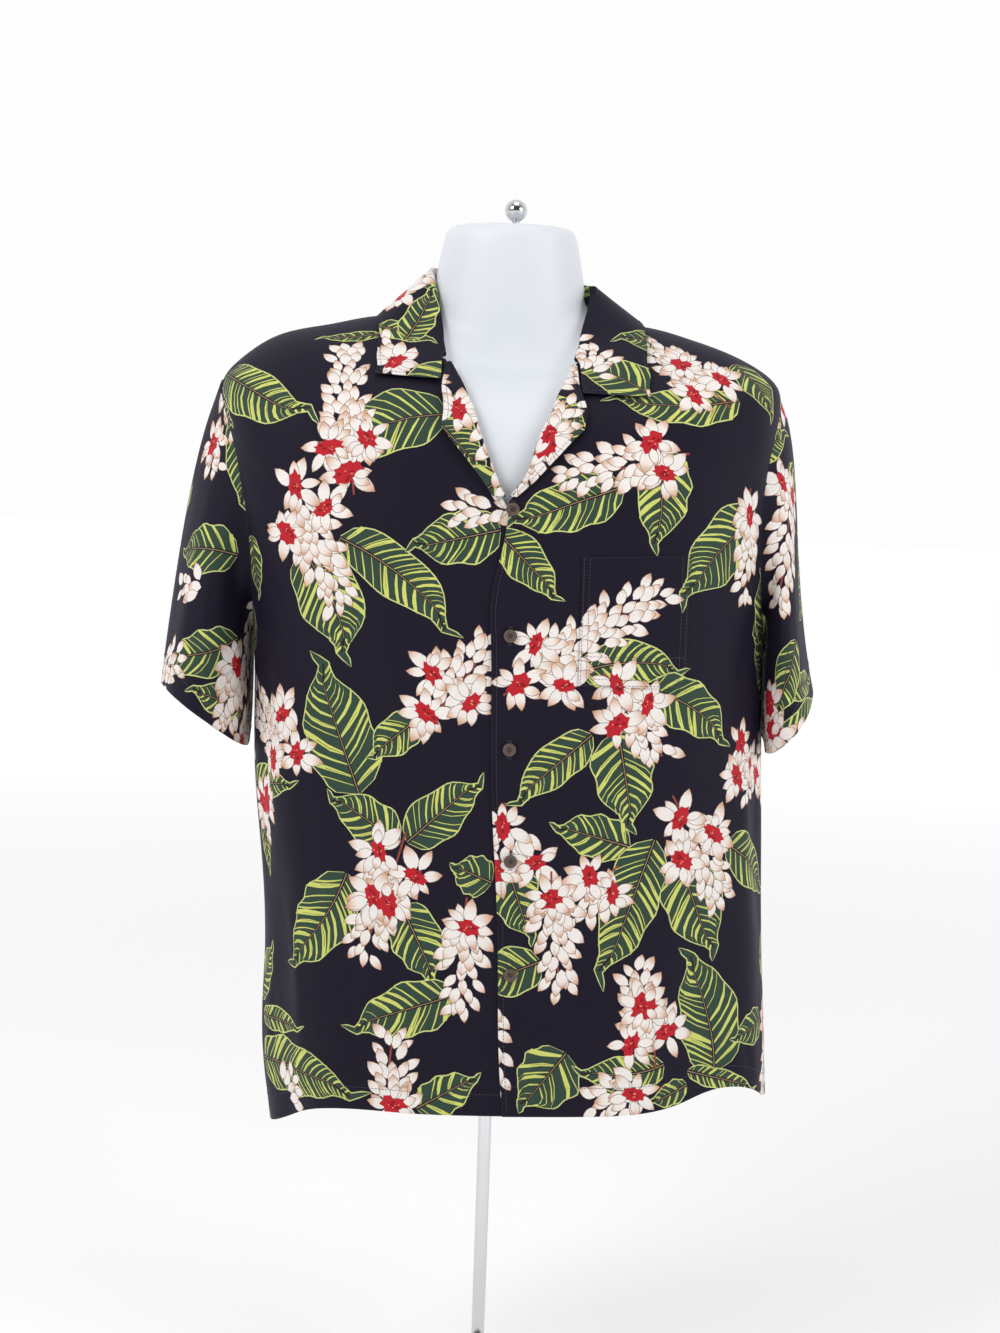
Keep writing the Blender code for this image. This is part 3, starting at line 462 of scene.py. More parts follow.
def front_places(side, cols=45):
    """Theta and along of a front's grid, from its free edge outwards."""
    front = "left_front" if side > 0 else "right_front"
    thetas, alongs = [], []
    for along in panel_levels():
        edge = theta_at(free_edge(front, along), along)
        out = side * (math.pi / 2 - armhole_cut(along) - seam_angle(math.pi / 2, along))
        thetas.append(edge + (out - edge) * np.linspace(0, 1, cols))
        alongs.append(np.full(cols, along))
    for share in np.linspace(0, 1, 9)[1:]:
        start = SHOULDER_ROWS_END + (GORGE_ALONG - SHOULDER_ROWS_END) * share
        edge = theta_at(free_edge(front, start), start)
        out = side * (math.pi / 2 - seam_angle(math.pi / 2, start))
        theta = edge + (out - edge) * np.linspace(0, 1, cols)
        neck = np.interp(np.degrees(np.abs(theta)), NECKLINE["theta"], NECKLINE["along"])
        thetas.append(theta)
        alongs.append(SHOULDER_ROWS_END + (neck - SHOULDER_ROWS_END) * share)
    return np.array(thetas), np.array(alongs)


def front_grid(side):
    """A front; the right one dips so that the left one laps over it."""
    theta, along = front_places(side)
    from_centre = np.abs(bare_surface(theta, along)[..., 0] - RING["shift"](along))
    under = 1 - ease(*UNDERLAP, from_centre)
    under = np.where(along > SHOULDER_ROWS_END, 0, under)
    return shirt(theta, along, -(WALL + REST_GAP) * under if side < 0 else 0.0)


def back_grid(cols=81):
    """The back, from the left side seam round to the right one."""
    rows = []
    for along in np.concatenate([panel_levels(), np.linspace(SHOULDER_ROWS_END, NECK_SEAM, 9)[1:]]):
        out = math.pi / 2 + armhole_cut(along) + seam_angle(math.pi / 2, along)
        rows.append(shirt(np.linspace(out, 2 * math.pi - out, cols), np.full(cols, along)))
    return np.array(rows)


def grid_faces(rows, cols):
    """Four corners for each cell of a grid."""
    return [(i * cols + j, i * cols + j + 1, (i + 1) * cols + j + 1, (i + 1) * cols + j)
            for i in range(rows - 1) for j in range(cols - 1)]


def tree_of(*grids):
    """The panels' middles, for laying other pieces over them."""
    points, faces = [], []
    for grid in grids:
        start = len(points)
        points += grid.reshape(-1, 3).tolist()
        faces += [tuple(start + corner for corner in face) for face in grid_faces(*grid.shape[:2])]
    return BVHTree.FromPolygons(points, faces)


def laid_over(grid, tree, room, reach=0.020):
    """The points, moved out to at least that room from the panels within reach."""
    moved = grid.copy()
    for index in np.ndindex(grid.shape[:2]):
        point = Vector(grid[index])
        place, normal, _, distance = tree.find_nearest(point)
        if distance < reach and (point - place).dot(normal) < room:
            moved[index] = place + normal * room
    return moved


GRIDS = {"shirt_front_left": front_grid(1), "shirt_front_right": front_grid(-1)[:, ::-1],
         "shirt_back": back_grid()}
BODY_TREE = tree_of(*GRIDS.values())
for name, grid in GRIDS.items():
    print(name, "grid", grid.shape[:2])

# %% [markdown]
# ## Sleeves
# A set-in sleeve leaves the armhole square to it and then falls, so every line from the
# shoulder seam to the cuff is one cubic curve. The grid is cut open at the underarm, where
# the real sleeve has its seam.

# %% Sleeves
CUFFS = {
    "sleeve_right": {"side": -1, "cap": 0.16, "flare": 0.10,
                     "outer": (-0.3065, -0.006, 0.6640), "inner": (-0.2275, -0.010, 0.6080),
                     "front": (-0.2640, -0.092, 0.6410), "back": (-0.2660, 0.078, 0.6460)},
    "sleeve_left": {"side": 1, "cap": 0.32, "flare": 0.24,
                    "outer": (0.2860, 0.018, 0.6780), "inner": (0.2400, 0.000, 0.6240),
                    "front": (0.2580, -0.092, 0.6400), "back": (0.2680, 0.084, 0.6750)},
}
# phi is 0 on top, 90 degrees in front and 180 underneath
SLEEVE_FOLD_COLUMNS = ("phi", "start", "end", "width", "height")
SLEEVE_FOLD_ROWS = (
    (118, 0.06, 1.10, 15, -0.0060),
    (84, 0.20, 1.20, 16, 0.0030),
    (38, 0.45, 1.20, 14, -0.0025),
    (246, 0.10, 1.10, 15, -0.0050),
    (300, 0.30, 1.20, 18, 0.0030),
    # small creases
    (62, 0.30, 1.00, 7, 0.0011),
    (98, 0.45, 1.15, 7, -0.0013),
    (20, 0.20, 0.80, 8, -0.0009),
    (335, 0.35, 1.05, 8, 0.0011),
    (278, 0.40, 1.10, 7, -0.0012),
    (225, 0.30, 1.00, 8, 0.0011),
    (140, 0.35, 1.10, 7, 0.0010),
)
SLEEVE_FOLD_GROWS = 0.3
SLEEVE_LEAVES = 0.030
SLEEVE_CAP_LEAVES = 0.024
SLEEVE_DROPS = 0.42
ARMHOLE_OFFSET = SEAM_GAP + WALL / 2 + 0.0002
CUFF_SQUARE = 0.10
SLEEVE_ROOM = 0.0032
SLEEVE_LEAST_ROOM = 0.0012       # close to the armhole, so the cap starts without a step


def armhole(side, phi, inward):
    """A point of the armhole's edge, moved towards the hole's middle."""
    middle, half = (SHOULDER_TIP + UNDERARM) / 2, (SHOULDER_TIP - UNDERARM) / 2
    step = 1e-3

    def place(turn):
        theta = side * (math.pi / 2 - ARMHOLE_CUT * np.sin(turn))
        return theta, middle + half * np.cos(turn)
    theta, along = place(phi)
    normal, edge = surface_normal(theta, along), bare_surface(theta, along)
    tangent = unit(bare_surface(*place(phi + step)) - edge)
    into_hole = unit(np.cross(normal, tangent)) * side
    return edge + into_hole * inward, normal, into_hole


def cuff_ring(cuff, phi):
    """The cuff's edge through its four points, at the sleeve's own angles."""
    outer, inner, front, back = (np.array(cuff[key]) for key in ("outer", "inner", "front", "back"))
    centre = (outer + inner) / 2
    cos, sin = np.cos(phi)[:, None], np.sin(phi)[:, None]
    reach = np.where(sin > 0, front - centre, centre - back)
    return (centre + (outer - inner) / 2 * cos * (1 + CUFF_SQUARE * sin ** 2)
            + reach * sin * (1 + CUFF_SQUARE * cos ** 2))


def sleeve_fold(phi, share):
    """The height of a sleeve's folds at a share of the way down to the cuff."""
    total = np.zeros_like(phi)
    for fold in named_rows(SLEEVE_FOLD_COLUMNS, SLEEVE_FOLD_ROWS):
        fullness = (ease(fold["start"], fold["start"] + SLEEVE_FOLD_GROWS, share)
                    * (1 - ease(fold["end"] - SLEEVE_FOLD_GROWS, fold["end"], share)))
        total += fold["height"] * fullness * turn_from(phi, math.radians(fold["phi"]),
                                                       math.radians(fold["width"]))
    return total


def sleeve_grid(name, rows=30, cols=73):
    """Rows run from the cuff up to the armhole; columns start and end at the underarm."""
    cuff = CUFFS[name]
    side = cuff["side"]
    phi = np.linspace(math.pi, 3 * math.pi, cols)[:-1]
    start, normal, into_hole = armhole(side, phi, ARMHOLE_OFFSET)
    end = cuff_ring(cuff, phi)
    height = np.cos(phi)[:, None]
    head = cuff["cap"]
    leave = unit(normal * (0.5 + head / 2 - (0.5 - head / 2) * height)
                 + into_hole * (0.52 + 0.48 * height))
    arrive = unit(np.array([side * cuff["flare"], 0, -1.0]))
    length = np.linalg.norm(end - start, axis=1)[:, None]
    first = start + leave * (SLEEVE_LEAVES + SLEEVE_CAP_LEAVES * height)
    second = end - arrive * length * SLEEVE_DROPS
    grid = []
    for t in np.linspace(1, 0, rows):
        ring = ((1 - t) ** 3 * start + 3 * (1 - t) ** 2 * t * first
                + 3 * (1 - t) * t ** 2 * second + t ** 3 * end)
        outward = unit(ring - ring.mean(axis=0))
        grid.append(ring + outward * sleeve_fold(phi, t)[:, None])
    grid = np.array(grid)
    for row, t in enumerate(np.linspace(1, 0, rows)[:-1]):
        room = SLEEVE_LEAST_ROOM + (WALL + SLEEVE_ROOM - SLEEVE_LEAST_ROOM) * ease(0, 0.35, t)
        grid[row:row + 1] = laid_over(grid[row:row + 1], BODY_TREE, room)
    grid = np.concatenate([grid, grid[:, :1]], axis=1)
    return grid[:, ::-1] if side > 0 else grid


for name in CUFFS:
    GRIDS[name] = sleeve_grid(name)
    print(name, "grid", GRIDS[name].shape[:2])

# %% [markdown]
# ## Collar, lapels and pocket
# A camp collar is one strip: it stands up from the neck seam, turns over on a small round
# and falls back over the fronts. The lapels are the fronts' own facings, turned out. Each
# line across them goes up the stand, round the fold and down the fall.

# %% Collar, lapels and pocket
FOLD_RADIUS = 0.0021
LAPEL_COLUMNS = ("along", "right_lapel", "left_lapel")
LAPEL_ROWS = (
    (0.588, -0.0070, 0.0130),
    (0.605, -0.0155, 0.0290),
    (0.636, -0.0330, 0.0520),
    (0.665, -0.0500, 0.0715),
    (0.690, -0.0515, 0.0715),
    (0.735, -0.0538, 0.0664),
    (0.762, -0.0546, 0.0634),
    (0.803, -0.0553, 0.0592),
)
LAPEL = columns(LAPEL_COLUMNS, LAPEL_ROWS)
LAPEL_EDGE_LIFT = 0.0036
COLLAR_COLUMNS = ("neck_theta", "neck_along", "fold_along",
                  "right_theta", "right_along", "left_theta", "left_along")
COLLAR_ROWS = (
    (28, 0.812, 0.8165, 31.5, 0.736, 30.5, 0.710),
    (33, 0.8165, 0.826, 34.5, 0.752, 33.5, 0.726),
    (40, 0.821, 0.836, 39.5, 0.767, 38.0, 0.744),
    (50, 0.828, 0.850, 46.5, 0.785, 44.0, 0.768),
    (62, 0.836, 0.865, 56.0, 0.800, 52.0, 0.787),
    (75, 0.843, 0.878, 69.0, 0.810, 66.0, 0.807),
    (90, 0.850, 0.887, 90.0, 0.8165, 90.0, 0.8165),
    (110, 0.850, 0.888, 110.0, 0.806, 110.0, 0.806),
    (132, 0.850, 0.888, 132.0, 0.783, 132.0, 0.783),
    (156, 0.850, 0.888, 156.0, 0.757, 156.0, 0.757),
    (180, 0.850, 0.888, 180.0, 0.747, 180.0, 0.747),
)
NOTCH = {"right": (17.4, 0.7614), "left": (18.0, 0.7351)}
NOTCH_SHARE = 0.36
NOTCH_BOW = 1.2
NOTCH_REACH = 1.6
BRIDGE = (2.2, 4.6)
COLLAR_GAP = 0.0020
COLLAR_FALL, LAPEL_FALL = 13, 7      # where the fall starts, counted across each grid
POCKET_X = (0.0665, 0.1585)
POCKET_ALONG = (0.402, 0.527)
POCKET_LIFT = 0.0012     # the pocket's middle above the front's


def collar_half(side):
    """Half of the collar's guide lines, as angles and heights, at every column."""
    table = columns(COLLAR_COLUMNS, COLLAR_ROWS)
    picks = np.concatenate([np.linspace(0, 5, 31), np.linspace(5, 10, 25)[1:]])
    knots = np.arange(len(COLLAR_ROWS), dtype=float)
    half = {name: smooth_curve(knots, table[name])(picks) for name in COLLAR_COLUMNS}
    hand = "left" if side > 0 else "right"
    return {"reach": picks, "notch": NOTCH[hand],
            "neck_theta": side * np.radians(half["neck_theta"]),
            "neck_along": half["neck_along"], "fold_along": half["fold_along"],
            "edge_theta": side * np.radians(half[hand + "_theta"]),
            "edge_along": half[hand + "_along"]}


def collar_line(half, index, side):
    """One line across the collar: up the stand, over the fold and down the fall."""
    neck_theta, edge_theta = half["neck_theta"][index], half["edge_theta"][index]
    neck_along = half["neck_along"][index] + WALL / 2 + REST_GAP
    fold_along, edge_along = half["fold_along"][index], half["edge_along"][index]
    line = [shirt(neck_theta, neck_along + (fold_along - neck_along) * share)
            for share in np.linspace(0, 1, 6)]
    for turn in np.radians(np.linspace(0, 180, 7)[1:-1]):
        line.append(shirt(neck_theta, fold_along + FOLD_RADIUS * math.sin(turn),
                          FOLD_RADIUS * (1 - math.cos(turn))))
    fold = shirt(neck_theta, fold_along, 2 * FOLD_RADIUS)
    edge_lift = WALL + COLLAR_GAP
    edge = shirt(edge_theta, edge_along, edge_lift)
    notch_pull = max(0.0, 1 - half["reach"][index] / NOTCH_REACH) ** 1.5
    bow = math.radians(NOTCH_BOW) * notch_pull
    flat_share = 1 - float(ease(*BRIDGE, half["reach"][index]))
    notch_theta, notch_along = side * math.radians(half["notch"][0]), half["notch"][1]
    aside = notch_theta - (neck_theta + (edge_theta - neck_theta) * NOTCH_SHARE)
    down = notch_along - (fold_along + (edge_along - fold_along) * NOTCH_SHARE)
    shares = (np.linspace(0, NOTCH_SHARE, 7), np.linspace(NOTCH_SHARE, 1, 10)[1:])
    for share in np.concatenate(shares):
        tent = min(share / NOTCH_SHARE, (1 - share) / (1 - NOTCH_SHARE)) * notch_pull
        theta = neck_theta + (edge_theta - neck_theta) * share + aside * tent
        theta -= side * bow * math.sin(math.pi * min(share / NOTCH_SHARE, 1))
        along = fold_along + (edge_along - fold_along) * share + down * tent
        lift = 2 * FOLD_RADIUS + (edge_lift - 2 * FOLD_RADIUS) * share
        on_surface = shirt(theta, along, lift)
        bridged = fold + (edge - fold) * share
        line.append(on_surface * flat_share + bridged * (1 - flat_share))
    return np.array(line)


def collar_grid():
    """The whole collar, from the right notch round the neck to the left one."""
    lines = []
    for side in (1, -1):
        half = collar_half(side)
        built = [collar_line(half, index, side) for index in range(len(half["reach"]))]
        lines = built + lines[::-1][1:] if side < 0 else built
    grid = np.array(lines).transpose(1, 0, 2)
    grid[COLLAR_FALL:] = laid_over(grid[COLLAR_FALL:], BODY_TREE, WALL + COLLAR_GAP)
    return grid


def lapel_grid(side):
    """A lapel: out of the V, over the roll and back across the front."""
    front, lapel = ("left_front", "left_lapel") if side > 0 else ("right_front", "right_lapel")
    grid = []
    low, high = LAPEL["along"][0], LAPEL["along"][-1]
    for along in np.linspace(low, high, 40):
        roll = free_edge(front, along)
        outer = np.interp(along, LAPEL["along"], LAPEL[lapel])
        edge_lift = WALL + REST_GAP + LAPEL_EDGE_LIFT * math.sin(
            math.pi * (along - low) / (high - low))
        start = roll - side * (REST_GAP + WALL / 4)
        line = []
        for turn in np.radians(np.linspace(0, 180, 7)[:-1]):
            line.append(shirt(theta_at(start - side * FOLD_RADIUS * math.sin(turn), along),
                              along, FOLD_RADIUS * (1 - math.cos(turn))))
        for share in np.linspace(0, 1, 10):
            line.append(shirt(theta_at(start + (outer - start) * share, along), along,
                              2 * FOLD_RADIUS + (edge_lift - 2 * FOLD_RADIUS) * share))
        grid.append(line)
    grid = np.array(grid)
    grid[:, LAPEL_FALL:] = laid_over(grid[:, LAPEL_FALL:], BODY_TREE, WALL + REST_GAP)
    return grid if side > 0 else grid[:, ::-1]


def pocket_places(rows=26, cols=20):
    """Theta and along of the pocket's grid."""
    along = np.linspace(*POCKET_ALONG, rows)[:, None] * np.ones(cols)
    x = np.linspace(*POCKET_X, cols)[None, :] - RING["shift"](along)
    return theta_at(x, along), along


GRIDS["collar"] = collar_grid()
GRIDS["lapel_left"] = lapel_grid(1)
GRIDS["lapel_right"] = lapel_grid(-1)
GRIDS["pocket"] = shirt(*pocket_places(), POCKET_LIFT)
for name in ("collar", "lapel_left", "lapel_right", "pocket"):
    print(name, "grid", GRIDS[name].shape[:2])

# %% [markdown]
# ## Flat patterns
# Cloth prints flat, and so does a maker cut it. Each grid is laid flat here the way a
# pattern cutter does it: every small cell keeps its own shape and only turns, and the cells
# settle until neighbours agree. Blender's unwrap does much the same, but working it out
# here keeps the result in real metres, which the print, the weave and the cloth's cut use.

# %% Flattening a grid
def cubic_weights(t):
    """Catmull-Rom weights of four neighbours for a place t between the middle two."""
    return np.stack([-0.5 * t + t ** 2 - 0.5 * t ** 3, 1 - 2.5 * t ** 2 + 1.5 * t ** 3,
                     0.5 * t + 2 * t ** 2 - 1.5 * t ** 3, -0.5 * t ** 2 + 0.5 * t ** 3], axis=-1)


def between(grid, row, col):
    """The grid's values at places between its points."""
    rows, cols = grid.shape[:2]
    row, col = np.asarray(row, float), np.asarray(col, float)
    i = np.clip(np.floor(row).astype(int), 0, rows - 2)
    j = np.clip(np.floor(col).astype(int), 0, cols - 2)
    in_row, in_col = cubic_weights(row - i), cubic_weights(col - j)
    padded = np.pad(grid, ((1, 1), (1, 1), (0, 0)), mode="reflect", reflect_type="odd")
    return sum((in_row[..., a] * in_col[..., b])[..., None] * padded[i + a, j + b]
               for a in range(4) for b in range(4))


def flattened(grid, rounds=60):
    """The flat place of each point, in metres; rows run upwards from a low middle start."""
    rows, cols = grid.shape[:2]
    down, across = rows // 2, cols // 2
    flat = np.zeros((rows, cols, 2))
    steps = np.linalg.norm(np.diff(grid, axis=1), axis=-1)
    flat[:, 1:, 0] = np.cumsum(steps, axis=1)
    flat[:, :, 0] -= flat[:, across:across + 1, 0]
    climbs = np.linalg.norm(np.diff(grid, axis=0), axis=-1)
    flat[1:, :, 1] = np.cumsum(climbs, axis=0)
    index = np.arange(rows * cols).reshape(rows, cols)
    cells = np.stack([index[:-1, :-1], index[:-1, 1:], index[1:, 1:], index[1:, :-1]],
                     axis=-1).reshape(-1, 4)
    points = grid.reshape(-1, 3)
    corner = points[cells]
    x_axis = unit(corner[:, 1] + corner[:, 2] - corner[:, 0] - corner[:, 3])
    z_axis = unit(np.cross(x_axis, corner[:, 2] + corner[:, 3] - corner[:, 0] - corner[:, 1]))
    y_axis = np.cross(z_axis, x_axis)
    middle = corner.mean(axis=1, keepdims=True)
    own = np.stack([np.einsum("nkc,nc->nk", corner - middle, x_axis),
                    np.einsum("nkc,nc->nk", corner - middle, y_axis)], axis=-1)
    count = rows * cols
    system = np.zeros((count, count))
    for k in range(4):
        for m in range(4):
            np.add.at(system, (cells[:, k], cells[:, m]), (1.0 if k == m else 0.0) - 0.25)
    fixed = index[down, across]
    system[fixed, fixed] += 1.0
    solve = np.linalg.inv(system)
    place = flat.reshape(-1, 2)
    for _ in range(rounds):
        now = place[cells] - place[cells].mean(axis=1, keepdims=True)
        cos = np.einsum("nkc,nkc->n", now, own)
        sin = np.einsum("nk,nk->n", now[..., 1], own[..., 0]) - np.einsum(
            "nk,nk->n", now[..., 0], own[..., 1])
        size = np.hypot(cos, sin)
        cos, sin = (cos / size)[:, None], (sin / size)[:, None]
        turned = np.stack([own[..., 0] * cos - own[..., 1] * sin,
                           own[..., 0] * sin + own[..., 1] * cos], axis=-1)
        pull = np.zeros((count, 2))
        np.add.at(pull, cells, turned)
        pull[fixed] += place[fixed]
        place = solve @ pull
    return place.reshape(rows, cols, 2)


def pattern(grid, most=34):
    """The whole grid's flat places, worked out on every few points and filled in between."""
    rows, cols = grid.shape[:2]
    row = np.linspace(0, rows - 1, min(rows, most + 12))
    col = np.linspace(0, cols - 1, min(cols, most))
    thin = between(grid, row[:, None] * np.ones(len(col)), np.ones(len(row))[:, None] * col)
    flat = flattened(thin)
    all_rows = np.linspace(0, len(row) - 1, rows)[:, None] * np.ones(cols)
    all_cols = np.ones(rows)[:, None] * np.linspace(0, len(col) - 1, cols)
    return between(flat, all_rows, all_cols)


def set_upright(flat, low, high, corner):
    """Turns and moves a pattern so that low to high runs straight up from the corner."""
    run = unit(high - low)
    turn = np.array([[run[1], -run[0]], [run[0], run[1]]])
    return (flat - low) @ turn.T + np.array(corner)


FLAT = {name: pattern(grid) for name, grid in GRIDS.items()}
CENTRE_ROWS = (4, 48)            # a low and a high row of the fronts, to stand them upright


def set_on_centre(name, side):
    """Puts a front's pattern in one frame with the other: the centre front runs up at 0."""
    theta, along = front_places(side)
    theta = theta if side > 0 else theta[:, ::-1]
    ends = []
    for row in CENTRE_ROWS:
        col = np.interp(0, theta[row], np.arange(theta.shape[1]))
        ends.append(between(FLAT[name], row, col))
    low = along[CENTRE_ROWS[0], 0]
    height = float(RING["z_front"](low) - RING["z_front"](0.0))
    FLAT[name] = set_upright(FLAT[name], *ends, (0, height))


set_on_centre("shirt_front_left", 1)
set_on_centre("shirt_front_right", -1)


def pocket_pattern():
    """The pocket is cut to match: its cloth continues the front's print under it."""
    theta, along = pocket_places()
    front_theta, front_along = front_places(1)
    rows = np.interp(along, front_along[:, 0], np.arange(len(front_along)))
    flat = np.zeros(theta.shape + (2,))
    for index in np.ndindex(theta.shape):
        row = int(rows[index])
        share = rows[index] - row
        line = front_theta[row] * (1 - share) + front_theta[row + 1] * share
        flat[index] = between(FLAT["shirt_front_left"], rows[index],
                              np.interp(theta[index], line, np.arange(len(line))))
    return flat


FLAT["pocket"] = pocket_pattern()


def stretch_of(grid, flat):
    """The mean difference between lengths on the hung grid and on the flat one."""
    hung = np.linalg.norm(np.diff(grid, axis=1), axis=-1)
    laid = np.linalg.norm(np.diff(flat, axis=1), axis=-1)
    return np.abs(laid / hung - 1).mean()


for name, flat in FLAT.items():
    size = flat.reshape(-1, 2).max(axis=0) - flat.reshape(-1, 2).min(axis=0)
    stretch = stretch_of(GRIDS[name], flat)
    print(f"{name}: flat {size[0]:.3f} x {size[1]:.3f} m, stretch {stretch:.3%}")

# %% [markdown]
# ## Drawing the print
# The print is cream ginger blossoms with red hearts and banana leaves on a near-black
# ground. A leaf is a bowed midrib with a width that swells and runs out to a point; a petal
# is the same idea, shorter. Every motif is a list of outlines in millimetres on the flat
# cloth, the later ones on top, and a seeded generator makes no two alike.

# %% Leaves, petals and hearts
INK = {"ground": "#120d20", "leaf": "#31453a", "leaf_edge": "#c8cf84", "stripe": "#cbd06e",
       "olive": "#4b5730", "rib": "#241a1c", "rib_light": "#a3876b", "stem": "#8a4339",
       "petal": "#ebe4df", "petal_tip": "#cb9160", "petal_line": "#7f625b",
       "heart": "#b81f2a", "heart_dark": "#86131d", "speck": "#e8806c"}
# Sizes in millimetres on the flat cloth; a pair is the range that one draw falls in.
LEAF_EDGE, LEAST_BLADE = 1.15, 0.12
STRIPE_WIDTHS, STRIPE_GAPS = (1.1, 1.8, 2.6, 4.2, 6.0), (2.6, 7.2)
OLIVE_LINE, OLIVE_PATCH = 0.42, 0.16         # a line's half width; a patch's share of a stripe
RIB_HALF, RIB_LIGHT_HALF, STEM_HALF = 1.75, 0.36, 0.9
PETAL_LINE = 0.42
TIP_STARTS = (0.38, 0.74)                    # shares of a petal where its peach tip begins
BUD_ROWS_APART, BUDS_APART, BUD_MISSING = 8.4, 10.8, 0.06
BUD_LENGTHS, BUD_SHARES = (16, 21), (0.50, 0.62)          # a share is width over length
PETAL_LENGTHS, PETAL_SHARES = (16, 24), (0.46, 0.56)
HEART_RADII = (9.0, 12.5)
FRONT_PETAL_LENGTHS, FRONT_PETAL_WIDTHS = (12, 17), (7.5, 9.5)
PLAIN_STRIPES_APART, PLAIN_BUDS_APART = 1.35, 1.40        # how much looser a plain motif is


def outline(points, ink, tip=None, axis=None):
    """One flat patch of ink; towards its tip the colour can run into another one."""
    return {"points": np.asarray(points, float), "ink": ink, "tip": tip, "axis": axis}


def bowed(start, end, bow, count):
    """Points, directions and sideways directions along a bowed line."""
    start, end = np.array(start, float), np.array(end, float)
    run = end - start
    aside = np.array([-run[1], run[0]]) / np.linalg.norm(run)
    share = np.linspace(0, 1, count)
    points = start + run * share[:, None] + aside * (4 * bow * share * (1 - share))[:, None]
    along = unit(np.gradient(points, axis=0))
    return points, along, np.stack([-along[:, 1], along[:, 0]], axis=-1), share


def ribbon(points, sideways, half_width, ink):
    """A closed outline around a line, that wide to each side."""
    half = np.broadcast_to(half_width, len(points))[:, None]
    both = [points + sideways * half, (points - sideways * half)[::-1]]
    return outline(np.concatenate(both), ink)


def leaf(base, tip, width, bow, dice, plain=False):
    """A banana leaf: pale edge, dark blade, broad slanted stripes and a double midrib."""
    count = 13 if plain else 19
    mid, _, side, share = bowed(base, tip, bow, count)
    length = np.linalg.norm(np.subtract(tip, base))
    hook = dice.choice((-1, 1)) * dice.uniform(0.03, 0.06) * length
    mid = mid + side * (hook * (ease(0.74, 0.90, share) - 1.4 * ease(0.88, 1.0, share)))[:, None]
    swell = np.maximum(share, 1e-3) ** 0.50 * (1 - share) ** 0.95
    drip = 0.10 * ease(0.70, 0.84, share) * (1 - ease(0.93, 1.0, share))
    swell = (swell / swell.max() * (1 - 0.80 * ease(0.68, 0.88, share)) + drip) * width / 2
    halves = []
    for _ in range(2):
        waves = dice.integers(2, 5)
        ripple = 1 + 0.07 * np.sin(share * waves * 2 * math.pi + dice.uniform(0, 6.28))
        halves.append(swell * ripple * dice.uniform(0.92, 1.08) + 0.35)

    def blade(inset, ink):
        left = mid + side * np.maximum(halves[0] - inset, LEAST_BLADE)[:, None]
        right = mid - side * np.maximum(halves[1] - inset, LEAST_BLADE)[:, None]
        return outline(np.concatenate([left, right[::-1]]), ink)
    drawn = [blade(0, "leaf_edge"), blade(LEAF_EDGE, "leaf")]
    knots = np.arange(count) / (count - 1)

    def at(place, values):
        return np.array([np.interp(place, knots, values[:, k]) for k in (0, 1)]).T
    for hand, half in zip((1, -1), halves):
        dense = dice.uniform(0.75, 1.25) * (PLAIN_STRIPES_APART if plain else 1)
        place = 0.03 + dice.uniform(0, 0.03)
        while place < 0.86:
            lean = (0.60 + 0.30 * (1 - place)) * np.interp(place, knots, half) / length
            thick = dice.choice(STRIPE_WIDTHS) * (0.4 + width / 80) / length
            thick *= 0.55 + 0.45 * math.sin(math.pi * min(place + 0.12, 1))
            grow = np.array((0.0, 0.36, 0.70, 1.0))
            curve = place + lean * grow ** 1.15
            out = np.interp(np.minimum(curve, 1), knots, half) * (0.03 + 0.95 * grow)
            taper = thick * np.array((0.40, 0.80, 1.0, 0.85)) * dice.uniform(0.85, 1.1, 4)
            near = at(curve - taper / 2, mid) + hand * at(curve, side) * out[:, None]
            far = at(curve + taper / 2, mid) + hand * at(curve, side) * out[:, None]
            if curve[-1] + taper[-1] < 0.95:
                line = OLIVE_LINE * unit(far[1] - near[1])
                reach = dice.integers(3, 5)
                if not plain:
                    drawn.append(outline(
                        np.concatenate([near[:reach] - line, far[:reach][::-1] + line]), "olive"))
                drawn.append(outline(np.concatenate([near, far[::-1]]), "stripe"))
                if not plain and thick * length > 3.0 and dice.random() < 0.6:
                    low, high = sorted(dice.uniform(0.25, 0.8, 2))
                    high = min(high, low + OLIVE_PATCH)
                    thin = near * (1 - low) + far * low
                    wide = near * (1 - high) + far * high
                    drawn.append(outline(np.concatenate([thin[:3], wide[:3][::-1]]), "olive"))
            place += thick + dice.uniform(*STRIPE_GAPS) * dense / length
    reach = share < 0.90
    rib, beside, share = mid[reach], side[reach], share[reach]
    drawn.append(ribbon(rib, beside, RIB_HALF * (1 - 0.55 * share), "rib"))
    rib, beside, share = rib[:-2], beside[:-2], share[:-2]
    drawn.append(ribbon(rib, beside, RIB_LIGHT_HALF * (1 - 0.6 * share), "rib_light"))
    return drawn


def petal(base, direction, length, width, dice, plain=False):
    """One petal: a thin outline, and a cream blade that turns peach at its tip."""
    share = np.linspace(0, 1, 5 if plain else 6)
    aside = np.array([-direction[1], direction[0]])
    bend = dice.uniform(-0.10, 0.10) * length
    mid = base + np.outer(share * length, direction) + np.outer(bend * share ** 2, aside)
    half = np.sin(math.pi * share ** 0.86) ** 0.70 * width / 2 + 0.15
    shapes = []
    for inset, ink in ((0.0, "petal_line"), (PETAL_LINE, "petal")):
        inner = np.maximum(half - inset, 0.08)[:, None]
        shrink = mid + np.outer(inset * (1 - 2 * share), direction)
        points = np.concatenate([shrink + aside * inner, (shrink - aside * inner)[::-1]])
        if ink == "petal":
            shapes.append(outline(points, ink, "petal_tip",
                                  (base, direction / length, dice.uniform(*TIP_STARTS))))
        else:
            shapes.append(outline(points, ink))
    return shapes


